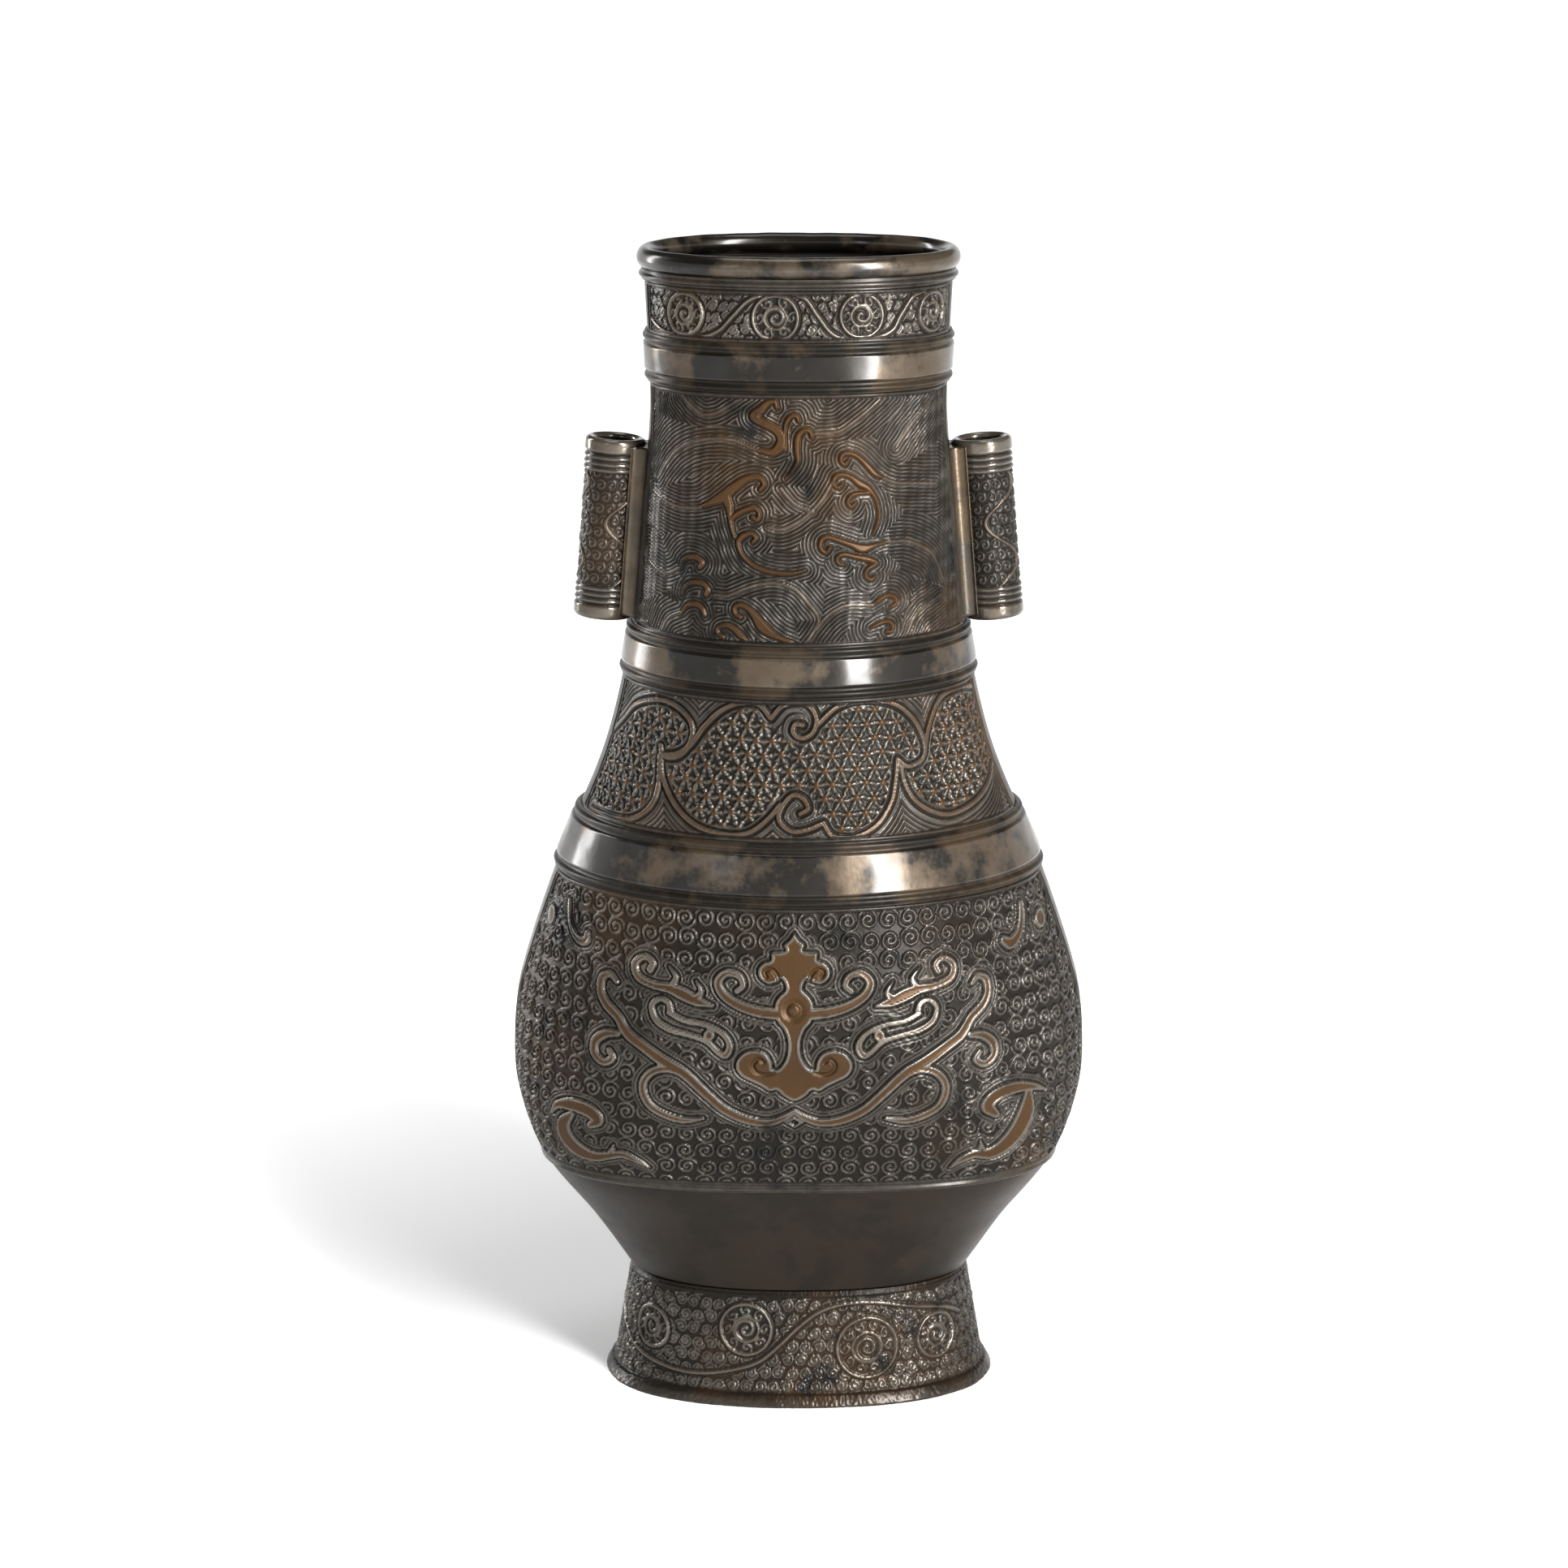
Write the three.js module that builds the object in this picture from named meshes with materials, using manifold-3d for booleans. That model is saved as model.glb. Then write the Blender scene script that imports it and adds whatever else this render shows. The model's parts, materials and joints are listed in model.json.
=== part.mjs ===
// Cast bronze arrow vase: a flattened pear-shaped vessel on a splayed foot, with a tubular ear on each side.
// Millimetres, +Z up, +X to the right of the front. The origin is on the table under the middle of the foot.

import * as THREE from "three";
import { mergeVertices } from "three/addons/utils/BufferGeometryUtils.js";
import Module from "manifold-3d";

const wasm = await Module();
wasm.setup();

// Height of each zone of the outside, from the table up
const footHeight = 26.4;
const lowerBodyHeight = 28.8;
const bulbHeight = 67.2;
const shoulderBandHeight = 11.8;
const collarHeight = 32.6;
const neckBandHeight = 9.2;
const waveHeight = 56;
const mouthBandHeight = 8.7;
const scrollHeight = 13.4;
const lipHeight = 5.9;

// Full width and depth of the oval outside, where its outline turns
const footWidth = 89.6;
const footDepth = 57.8;
const waistWidth = 78;
const waistDepth = 48;
const lowerBodyWidth = 95.6;
const lowerBodyDepth = 59.2;
const bulbFloorWidth = 117.4;
const bulbFloorDepth = 74.8;
const bulbWidth = 130.4;
const bulbDepth = 92.6;
const shoulderWidth = 110;
const shoulderDepth = 85;
const collarWidth = 87.8;
const collarDepth = 72.6;
const neckWidth = 76.2;
const neckDepth = 65.2;
const throatWidth = 66.8;
const throatDepth = 51.6;
const mouthWidth = 69;
const mouthDepth = 49;

// Raised lines and plain bands that part the zones
const ridgeRaise = 0.55;
const ridgeHalfWidth = 0.8;
const bandRaise = 0.45;
const bandInset = 1.7;
const bandFlank = 0.3;
const lipRaise = 0.9;
const lipThickness = 3.9;

// Walls, seats and the joints between the cast pieces
const wall = 3.2;
const jointClearance = 0.3;
const spigotDepth = 4;
const socketRim = 2.7;
const spigotWall = 3;
const plateThickness = 2.5;
const ledgeWidth = 4;
const ledgeThickness = 2;
const footWall = 3.3;
const footRimHeight = 5;
const footRimFlare = 2.2;
const footShoulderRaise = 0.4;
const footShoulderHeight = 1.6;

// Tubular ears
const earDiameter = 13.4;
const earBore = 9.2;
const earHeight = 40.4;
const earLift = 1.6;
const earReach = 50.3;
const earLean = THREE.MathUtils.degToRad(4.7);
const earRimHeight = 2.6;
const earRingHeight = 1.1;
const earGroove = 0.4;
const earSeatRadius = 3.2;
const earSeatMargin = 1.5;

// Relief: half width of a stroke, how far it stands up, how deep its root goes into the wall, how much its
// flanks slope, and how far the finished skin may move when short edges are joined
const strokeHalfWidth = 1;
const reliefRaise = 0.75;
const reliefRoot = 0.6;
const reliefFlank = 0.3;
const reliefTolerance = 0.02;

// Points round the oval and round an ear
const ovalPoints = 40;
const earPoints = 18;

const bulbFloor = footHeight + lowerBodyHeight;
const bulbTop = bulbFloor + bulbHeight;
const collarFloor = bulbTop + shoulderBandHeight;
const collarTop = collarFloor + collarHeight;
const neckFloor = collarTop + neckBandHeight;
const throatTop = neckFloor + waveHeight;
const scrollFloor = throatTop + mouthBandHeight;
const lipFloor = scrollFloor + scrollHeight;
const lipTop = lipFloor + lipHeight;
const spigotFloor = footHeight - spigotDepth;
const plateTop = spigotFloor - jointClearance;
const ledgeTop = plateTop - plateThickness - jointClearance;

// Stations of the oval outside: level, full width, full depth and squareness of the superellipse
const stations = [
  [footHeight, waistWidth, waistDepth, 2.25],
  [footHeight + 0.47 * lowerBodyHeight, lowerBodyWidth, lowerBodyDepth, 2.45],
  [bulbFloor, bulbFloorWidth, bulbFloorDepth, 2.7],
  [bulbFloor + 0.22 * bulbHeight, bulbWidth * 0.985, bulbDepth * 0.927, 2.5],
  [bulbFloor + 0.42 * bulbHeight, bulbWidth, bulbDepth * 0.994, 2.2],
  [bulbFloor + 0.6 * bulbHeight, bulbWidth * 0.979, bulbDepth, 2.02],
  [bulbTop, shoulderWidth, shoulderDepth, 1.95],
  [collarFloor + 0.48 * collarHeight, collarWidth, collarDepth, 1.95],
  [neckFloor, neckWidth, neckDepth, 1.97],
  [neckFloor + waveHeight / 2, (neckWidth + throatWidth) * 0.4925, (neckDepth + throatDepth) * 0.492, 2.15],
  [neckFloor + 0.86 * waveHeight, throatWidth, throatDepth, 2.3],
  [lipFloor, mouthWidth, mouthDepth, 2.2],
];

// Slope of one station value at station k, from its neighbours
function stationSlope(k, column) {
  const before = stations[Math.max(k - 1, 0)];
  const after = stations[Math.min(k + 1, stations.length - 1)];
  return (after[column] - before[column]) / (after[0] - before[0]);
}

// Smooth value of one station column at a level: a cubic between the two stations round it
function stationValue(level, column) {
  let k = 0;
  while (k < stations.length - 2 && level > stations[k + 1][0]) k += 1;
  const span = stations[k + 1][0] - stations[k][0];
  const t = THREE.MathUtils.clamp((level - stations[k][0]) / span, 0, 1);
  const start = stations[k][column];
  const end = stations[k + 1][column];
  const startSlope = stationSlope(k, column) * span;
  const endSlope = stationSlope(k + 1, column) * span;
  const rise = end - start;
  return start + startSlope * t + (3 * rise - 2 * startSlope - endSlope) * t * t
    + (startSlope + endSlope - 2 * rise) * t * t * t;
}

// Oval ring at a level, grown outward by a given amount
function bodyRing(level, grow, z = level) {
  const [width, depth, squareness] = [1, 2, 3].map((column) => stationValue(level, column));
  return ring(z, width / 2 + grow, depth / 2 + grow, squareness);
}

function ring(z, halfWidth, halfDepth, squareness) {
  return { z, halfWidth, halfDepth, squareness };
}

// Strokes of the relief on the front, each a list of [across, up, thickness]. Across is in hundredths of half
// the width of the zone, up in hundredths of its height, and the thickness in shares of strokeHalfWidth.
const maskMiddle = -1.5;
const maskStem = [
  [0, 91, 0.6], [0, 85, 2.4], [0, 79.5, 7.2], [0, 75, 5.2], [0, 71.5, 2.2], [0, 65, 4.2],
  [0, 59, 2], [0, 52, 1.4], [0, 46.5, 3.4], [0, 43.5, 10], [0, 39, 6], [0, 35, 0.8],
];
const maskHalf = [
  [[-17.8, 44, 1.2], [-18.6, 49, 1.1], [-13.8, 52, 1], [-9.5, 50, 0.8]],
  [[-4.6, 64.6, 1.3], [-18.4, 67, 1.2], [-24.8, 72.6, 1.1], [-21.8, 77, 0.9], [-17.5, 74.7, 0.8]],
  [[-27.3, 66.5, 0.6], [-37.1, 69.5, 1.5], [-47.1, 71.4, 1.1], [-53, 75.6, 1], [-50.3, 80, 0.8]],
  [[-46.9, 62.9, 1], [-42.9, 58, 1.2], [-30.7, 55.2, 1.3], [-23.3, 51.2, 1]],
  [
    [-61.3, 72.6, 0.8], [-64.9, 67.3, 1.1], [-59.2, 59.5, 1.2], [-55.2, 53.3, 1.3], [-43.9, 47, 1.4],
    [-33.7, 40, 1.3], [-23.3, 31.3, 1.2], [-10.7, 26.8, 1.1], [0, 31, 0.7],
  ],
  [[-36.8, 43.3, 1], [-47.4, 43.2, 1], [-51, 36.2, 1], [-46.8, 29.5, 1], [-33.7, 26.8, 0.6]],
];
const cornerHeads = [
  [[-70, 22, 1], [-74.4, 26.8, 1.5], [-82, 25, 1]],
  [[-77.6, 23.5, 1.2], [-79.4, 16, 2], [-72.7, 10.2, 1.9], [-63, 10.7, 1.2], [-52, 8, 0.4]],
  [[65, 27.2, 1.1], [70, 33, 1.5], [80.5, 32.4, 0.9]],
  [[77.6, 28, 1.4], [75.8, 20.5, 2], [69, 12.8, 1.8], [60, 12, 1], [51.2, 7.7, 0.4]],
];
const clouds = [
  [
    [-68.3, 53.4, 0.7], [-52.8, 63.8, 0.7], [-37.6, 88.3, 0.7], [-19.4, 93.3, 0.7], [-13.7, 84.7, 0.7],
    [-1, 94.2, 0.7], [8.7, 84.7, 0.7],
  ],
  [[8, 85.4, 0.7], [28.5, 95, 0.7], [48.5, 90, 0.7], [62, 60.7, 0.7], [48.7, 54.6, 0.7]],
  [[48.2, 54, 0.7], [45.5, 27, 0.7], [27.8, 7, 0.7], [12, 16.3, 0.7]],
  [[-68.3, 51.5, 0.7], [-61.5, 23.3, 0.7], [-37, 9.6, 0.7], [-9, 28.2, 0.7]],
  [[50.6, 51.5, 0.7], [57.6, 26.4, 0.7], [77, 14, 0.7]],
];
const waves = [
  [[-13, 94.6, 0.7], [-24.7, 89.3, 1.1], [-10.5, 81.5, 1.1], [-22, 76.6, 0.6]],
  [[-21.8, 63.4, 0.6], [-31, 65.3, 0.8], [-42.8, 58.6, 1.1], [-55.6, 54, 0.4]],
  [[21, 65.2, 0.6], [34, 64, 0.7], [45, 53.6, 0.6], [42, 44.3, 0.4]],
  [[13, 41, 0.6], [30, 40.7, 0.8], [51.4, 41, 0.4]],
  [[-24, 77.4, 0.5], [-46.5, 80.7, 0.6], [-64.8, 76.6, 0.6], [-80.3, 62.5, 0.5]],
  [[9.4, 83.2, 0.5], [29.4, 86.8, 0.6], [49.9, 96, 0.5]],
  [[-33, 12.9, 0.5], [-29.4, 16.6, 0.6], [-21, 10, 1.1], [0, 4, 0.4]],
];
const footVine = [
  [-97, 38, 0.6], [-77, 26, 0.6], [-46, 26.5, 0.6], [-24, 36.4, 0.6], [0, 68, 0.6], [23, 86.4, 0.6],
  [56, 85, 0.6], [85, 74, 0.6],
];

// Medallions on the foot: place across, place up and radius across, in the same shares
const footMedallions = [[-30.8, 65, 14.9], [40, 48.5, 17.7]];

// Point of a ring at a turn of angle, on a superellipse
function ringPoint({ z, halfWidth, halfDepth, squareness }, angle) {
  const power = 2 / squareness;
  const x = halfWidth * Math.sign(Math.cos(angle)) * Math.abs(Math.cos(angle)) ** power;
  const y = halfDepth * Math.sign(Math.sin(angle)) * Math.abs(Math.sin(angle)) ** power;
  return [x, y, z];
}

// Skin through the rings in order. It closes on itself, or is capped by a fan at each end.
function loft(rings, closesOnItself) {
  const positions = [];
  for (const each of rings) {
    for (let j = 0; j < ovalPoints; j += 1) {
      positions.push(...ringPoint(each, (2 * Math.PI * j) / ovalPoints));
    }
  }
  const index = [];
  const spans = closesOnItself ? rings.length : rings.length - 1;
  for (let i = 0; i < spans; i += 1) {
    const low = i * ovalPoints;
    const high = ((i + 1) % rings.length) * ovalPoints;
    for (let j = 0; j < ovalPoints; j += 1) {
      const k = (j + 1) % ovalPoints;
      index.push(low + j, low + k, high + k, low + j, high + k, high + j);
    }
  }
  if (!closesOnItself) {
    const last = (rings.length - 1) * ovalPoints;
    const centre = positions.length / 3;
    positions.push(0, 0, rings[0].z, 0, 0, rings.at(-1).z);
    for (let j = 0; j < ovalPoints; j += 1) {
      const k = (j + 1) % ovalPoints;
      index.push(centre, k, j, centre + 1, last + j, last + k);
    }
  }
  const geometry = new THREE.BufferGeometry();
  geometry.setAttribute("position", new THREE.Float32BufferAttribute(positions, 3));
  geometry.setIndex(index);
  return geometry;
}

// Closed three.js geometry as a solid that can be cut, and back
function toSolid(geometry) {
  const bare = geometry.clone();
  bare.deleteAttribute("normal");
  bare.deleteAttribute("uv");
  const merged = mergeVertices(bare);
  return new wasm.Manifold(new wasm.Mesh({
    numProp: 3,
    vertProperties: new Float32Array(merged.attributes.position.array),
    triVerts: new Uint32Array(merged.index.array),
  }));
}

function toGeometry(solid) {
  const mesh = solid.getMesh();
  const geometry = new THREE.BufferGeometry();
  geometry.setAttribute("position", new THREE.Float32BufferAttribute(mesh.vertProperties, 3));
  geometry.setIndex(new THREE.Uint32BufferAttribute(mesh.triVerts, 1));
  return geometry;
}

// Levels and raises of a fine raised line, a raised plain band and a smooth panel
function ridge(level) {
  return [[level - ridgeHalfWidth, 0], [level, ridgeRaise], [level + ridgeHalfWidth, 0]];
}

function plainBand(floor, top) {
  const low = floor + bandInset;
  const high = top - bandInset;
  return [[low - bandFlank, 0], [low, bandRaise], [high, bandRaise], [high + bandFlank, 0]];
}

function panel(floor, top, steps) {
  const levels = [];
  for (let i = 1; i < steps; i += 1) {
    levels.push([floor + ((top - floor) * i) / steps, 0]);
  }
  return levels;
}

function outerLevels() {
  return [
    [footHeight, 0],
    ...panel(footHeight, bulbFloor, 4),
    ...ridge(bulbFloor),
    ...panel(bulbFloor, bulbTop, 7),
    ...ridge(bulbTop),
    ...plainBand(bulbTop, collarFloor),
    ...ridge(collarFloor),
    ...panel(collarFloor, collarTop, 4),
    ...ridge(collarTop),
    ...plainBand(collarTop, neckFloor),
    ...ridge(neckFloor),
    ...panel(neckFloor, throatTop, 5),
    ...ridge(throatTop),
    ...plainBand(throatTop, scrollFloor),
    ...ridge(scrollFloor),
    ...panel(scrollFloor, lipFloor, 2),
    ...ridge(lipFloor),
  ];
}

// Rounded lip: a thick roll that overhangs the scroll band a little and the inside of the mouth too
function lipRings() {
  const rings = [];
  const steps = 6;
  const rollFloor = lipFloor + 2 * ridgeHalfWidth;
  const rollHeight = (lipTop - rollFloor) / 2;
  for (let i = 0; i <= steps; i += 1) {
    const turn = -Math.PI / 2 + (1.5 * Math.PI * i) / steps;
    const grow = lipRaise - lipThickness / 2 + (lipThickness / 2) * Math.cos(turn);
    rings.push(bodyRing(lipFloor, grow, rollFloor + rollHeight + rollHeight * Math.sin(turn)));
  }
  return rings.slice(1);
}

// Front of the outside at a place across and up
function skinPoint(x, z) {
  const oval = z < footHeight ? footRing(z, 0) : bodyRing(z, 0);
  const { halfWidth, halfDepth, squareness } = oval;
  const share = Math.min(Math.abs(x / halfWidth), 1);
  return new THREE.Vector3(x, -halfDepth * (1 - share ** squareness) ** (1 / squareness), z);
}

// Direction straight out of the metal there
function skinNormal(x, z) {
  const step = 0.1;
  const across = skinPoint(x + step, z).sub(skinPoint(x - step, z));
  const up = skinPoint(x, z + step).sub(skinPoint(x, z - step));
  return across.cross(up).normalize();
}

// Corners round a stroke where it passes a point: two on top, and two wider apart at its root in the wall
function strokeSection(points, k, halfWidth) {
  const before = points[Math.max(k - 1, 0)];
  const after = points[Math.min(k + 1, points.length - 1)];
  const normal = skinNormal(points[k].x, points[k].z);
  const aside = normal.clone().cross(after.clone().sub(before)).normalize();
  const top = halfWidth - reliefFlank / 2;
  const root = halfWidth + reliefFlank / 2;
  const outline = [[-top, reliefRaise], [top, reliefRaise], [root, -reliefRoot], [-root, -reliefRoot]];
  return outline.map(([offset, height]) => (
    points[k].clone().addScaledVector(aside, offset).addScaledVector(normal, height)
  ));
}

// One raised stroke on the front of a zone: the corners at each of its points, joined from point to point
function strokeSolid(stroke, zoneWidth, zoneFloor, zoneHeight) {
  const points = stroke.map(([across, up]) => (
    skinPoint((across / 100) * (zoneWidth / 2), zoneFloor + (up / 100) * zoneHeight)
  ));
  const corners = points.flatMap((_, k) => strokeSection(points, k, stroke[k][2] * strokeHalfWidth));
  const end = corners.length - 4;
  const faces = [0, 1, 2, 0, 2, 3, end, end + 2, end + 1, end, end + 3, end + 2];
  for (let k = 0; k < end; k += 1) {
    const next = k % 4 === 3 ? k - 3 : k + 1;
    faces.push(k, next + 4, next, k, k + 4, next + 4);
  }
  return toSolid(new THREE.BufferGeometry().setFromPoints(corners).setIndex(faces));
}

// A solid with strokes raised on its front, and the same on its back. A union of so many parts can leave
// slivers without volume beside its one true shell, so the largest shell is kept.
function withRelief(geometry, front) {
  const back = front.map((each) => each.rotate([0, 0, 180]));
  const joined = wasm.Manifold.union([toSolid(geometry), ...front, ...back]);
  const shells = joined.asOriginal().simplify(reliefTolerance).decompose();
  return toGeometry(shells.reduce((best, each) => (each.volume() > best.volume() ? each : best)));
}

// A stroke of the mask on one side of its middle: 1 as listed, -1 mirrored
function maskStroke(stroke, side) {
  return stroke.map(([across, up, thickness]) => [maskMiddle + side * across, up, thickness]);
}

function bodyStrokes() {
  const mask = maskHalf.flatMap((stroke) => [maskStroke(stroke, 1), maskStroke(stroke, -1)]);
  const bulb = [maskStroke(maskStem, 1), ...mask, ...cornerHeads];
  return [
    ...bulb.map((stroke) => strokeSolid(stroke, bulbWidth, bulbFloor, bulbHeight)),
    ...clouds.map((stroke) => strokeSolid(stroke, collarWidth, collarFloor, collarHeight)),
    ...waves.map((stroke) => strokeSolid(stroke, neckWidth, neckFloor, waveHeight)),
  ];
}

// Ring of a medallion, as a stroke of eight links whose end laps over its start
function medallionStroke([across, up, radius]) {
  const radiusUp = (radius * waistWidth) / 2 / footHeight;
  return Array.from({ length: 9 }, (_, k) => {
    const turn = THREE.MathUtils.degToRad(46 * k);
    return [across + radius * Math.cos(turn), up + radiusUp * Math.sin(turn), 0.7];
  });
}

function footStrokes() {
  const strokes = [footVine, ...footMedallions.map(medallionStroke)];
  return strokes.map((stroke) => strokeSolid(stroke, waistWidth, 0, footHeight));
}

function vesselBodyGeometry() {
  const outside = outerLevels().map(([level, raise]) => bodyRing(level, raise));
  const insideLevels = [
    scrollFloor, throatTop, ...[9, 8, 7, 6, 4, 2, 1].map((k) => stations[k][0]), footHeight + spigotWall,
  ];
  const inside = insideLevels.map((level) => bodyRing(level, -wall));
  const spigot = bodyRing(footHeight, -socketRim - jointClearance);
  const spigotInside = bodyRing(footHeight, -socketRim - jointClearance - spigotWall);
  const foot = [
    { ...spigotInside, z: footHeight },
    { ...spigotInside, z: spigotFloor },
    { ...spigot, z: spigotFloor },
    { ...spigot, z: footHeight },
  ];
  return loft([...outside, ...lipRings(), ...inside, ...foot], true);
}

// Outside of the foot: a straight splay with a rim that flares at the table
function footRing(z, grow) {
  const splay = THREE.MathUtils.clamp((footHeight - z) / (footHeight - footRimHeight), 0, 1);
  const flare = footRimFlare * Math.max(0, 1 - z / footRimHeight) ** 1.3;
  const halfWidth = waistWidth / 2 + splay * ((footWidth - waistWidth) / 2 - footRimFlare) + flare;
  const halfDepth = waistDepth / 2 + splay * ((footDepth - waistDepth) / 2 - footRimFlare) + flare;
  return ring(z, halfWidth + grow, halfDepth + grow, stations[0][3]);
}

function footRingGeometry() {
  const top = footHeight - jointClearance;
  const socket = bodyRing(footHeight, -socketRim);
  const ledge = bodyRing(footHeight, -socketRim - ledgeWidth);
  const shoulder = footHeight - footShoulderHeight;
  const rings = [
    footRing(0, -0.4),
    footRing(0.6, 0),
    footRing(footRimHeight / 2, 0),
    footRing(footRimHeight, 0),
    footRing((footRimHeight + shoulder) / 2, 0),
    footRing(shoulder - footShoulderRaise, 0),
    footRing(shoulder, footShoulderRaise),
    footRing(top, footShoulderRaise),
    { ...socket, z: top },
    { ...socket, z: ledgeTop },
    { ...ledge, z: ledgeTop },
    { ...ledge, z: ledgeTop - ledgeThickness },
    footRing(ledgeTop - 2 * ledgeThickness, -footWall),
    footRing(footRimHeight, -footWall),
    footRing(0, -footWall),
  ];
  return loft(rings, true);
}

// Plate let into the foot: it closes the vessel and is held between the ledge and the spigot
function basePlateGeometry() {
  const outline = [];
  const edge = bodyRing(footHeight, -socketRim - jointClearance);
  for (let j = 0; j < ovalPoints; j += 1) {
    const [x, y] = ringPoint(edge, (2 * Math.PI * j) / ovalPoints);
    outline.push(new THREE.Vector2(x, y));
  }
  const geometry = new THREE.ExtrudeGeometry(new THREE.Shape(outline), { depth: plateThickness, bevelEnabled: false });
  return geometry.translate(0, 0, plateTop - plateThickness);
}

// Space that the neck takes up, with the joint clearance all round
function neckKeepOut() {
  const rings = [[neckFloor, ridgeRaise], ...panel(neckFloor, throatTop, 5), [throatTop, 0]]
    .map(([level, raise]) => bodyRing(level, raise + jointClearance));
  rings.unshift(bodyRing(collarTop, bandRaise + jointClearance));
  return toSolid(loft(rings, false));
}

// Placing of a piece made upright round an ear's axis: lean the top in to the neck and move it to its side
function placeEar(geometry, side) {
  const reach = earReach - earDiameter / 2;
  return geometry.rotateY(-side * earLean).translate(side * reach, 0, neckFloor + earLift);
}

// Open tube with a rim and two rings at each end
function earTubeOutline() {
  const outer = earDiameter / 2;
  const inner = outer - earGroove;
  const end = [[outer - 0.5, 0], [outer, 0.5], [outer, earRimHeight]];
  let level = earRimHeight;
  for (let i = 0; i < 2; i += 1) {
    end.push([inner, level + 0.3], [inner, level + 0.7], [outer - 0.1, level + 1]);
    level += 1 + earRingHeight;
    end.push([outer - 0.1, level]);
  }
  end.push([inner, level + 0.4]);
  const other = end.map(([radius, z]) => [radius, earHeight - z]).reverse();
  const bore = [[earBore / 2, earHeight], [earBore / 2, 0], [outer - 0.5, 0]];
  return [...end, ...other, ...bore].map(([radius, z]) => new THREE.Vector2(radius, z));
}

function earTubeGeometry(side) {
  const tube = new THREE.LatheGeometry(earTubeOutline(), earPoints).rotateX(Math.PI / 2);
  return toGeometry(toSolid(placeEar(tube, side)).subtract(neckKeepOut()));
}

// Run of solder metal that fills the cusp between ear and neck, with a hollow face tangent to both
function earSeatGeometry(side, face) {
  const height = earHeight - 2 * earSeatMargin;
  const reach = earReach - earDiameter / 2 - earHeight * Math.tan(earLean) / 2;
  const neckLevel = neckFloor + earLift + earHeight / 2;
  const hollowX = stationValue(neckLevel, 1) * 0.475 + earSeatRadius - reach;
  const span = earDiameter / 2 + earSeatRadius;
  const hollowY = Math.sqrt(span * span - hollowX * hollowX);
  const corners = [[0, 0], [side * hollowX, face * hollowY], [side * (hollowX - 2 * earSeatRadius), face * hollowY],
    [-side * earDiameter / 2, 0]];
  const outline = new THREE.Shape(corners.map(([x, y]) => new THREE.Vector2(x, y)));
  const block = new THREE.ExtrudeGeometry(outline, { depth: height, bevelEnabled: false })
    .translate(0, 0, earSeatMargin);
  const tube = new THREE.CylinderGeometry(
    earDiameter / 2 + jointClearance, earDiameter / 2 + jointClearance, earHeight, earPoints,
  ).rotateX(Math.PI / 2).translate(0, 0, earHeight / 2);
  const hollow = new THREE.CylinderGeometry(earSeatRadius, earSeatRadius, earHeight, earPoints)
    .rotateX(Math.PI / 2).translate(side * hollowX, face * hollowY, earHeight / 2);
  return toGeometry(toSolid(placeEar(block, side))
    .subtract(toSolid(placeEar(tube, side)))
    .subtract(toSolid(placeEar(hollow, side)))
    .subtract(neckKeepOut()));
}

function bronze(color, roughness) {
  return new THREE.MeshStandardMaterial({ color, roughness, metalness: 0.85 });
}

const darkBronze = bronze(0x4a3a2b, 0.45);
const footBronze = bronze(0x54402c, 0.5);
const earBronze = bronze(0x5a4632, 0.45);
const solderMetal = bronze(0x8a6f45, 0.4);
const plateBronze = bronze(0x3c3128, 0.6);

const vase = new THREE.Group();

function addPiece(name, geometry, material) {
  geometry.computeVertexNormals();
  const mesh = new THREE.Mesh(geometry, material);
  mesh.name = name;
  vase.add(mesh);
}

addPiece("vessel_body", withRelief(vesselBodyGeometry(), bodyStrokes()), darkBronze);
addPiece("foot_ring", withRelief(footRingGeometry(), footStrokes()), footBronze);
addPiece("base_plate", basePlateGeometry(), plateBronze);
for (const [sideName, side] of [["left", -1], ["right", 1]]) {
  addPiece(`${sideName}_ear_tube`, earTubeGeometry(side), earBronze);
  for (const [faceName, face] of [["front", -1], ["back", 1]]) {
    addPiece(`${sideName}_ear_${faceName}_solder`, earSeatGeometry(side, face), solderMetal);
  }
}

export default vase;
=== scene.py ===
import json
import math

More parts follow.
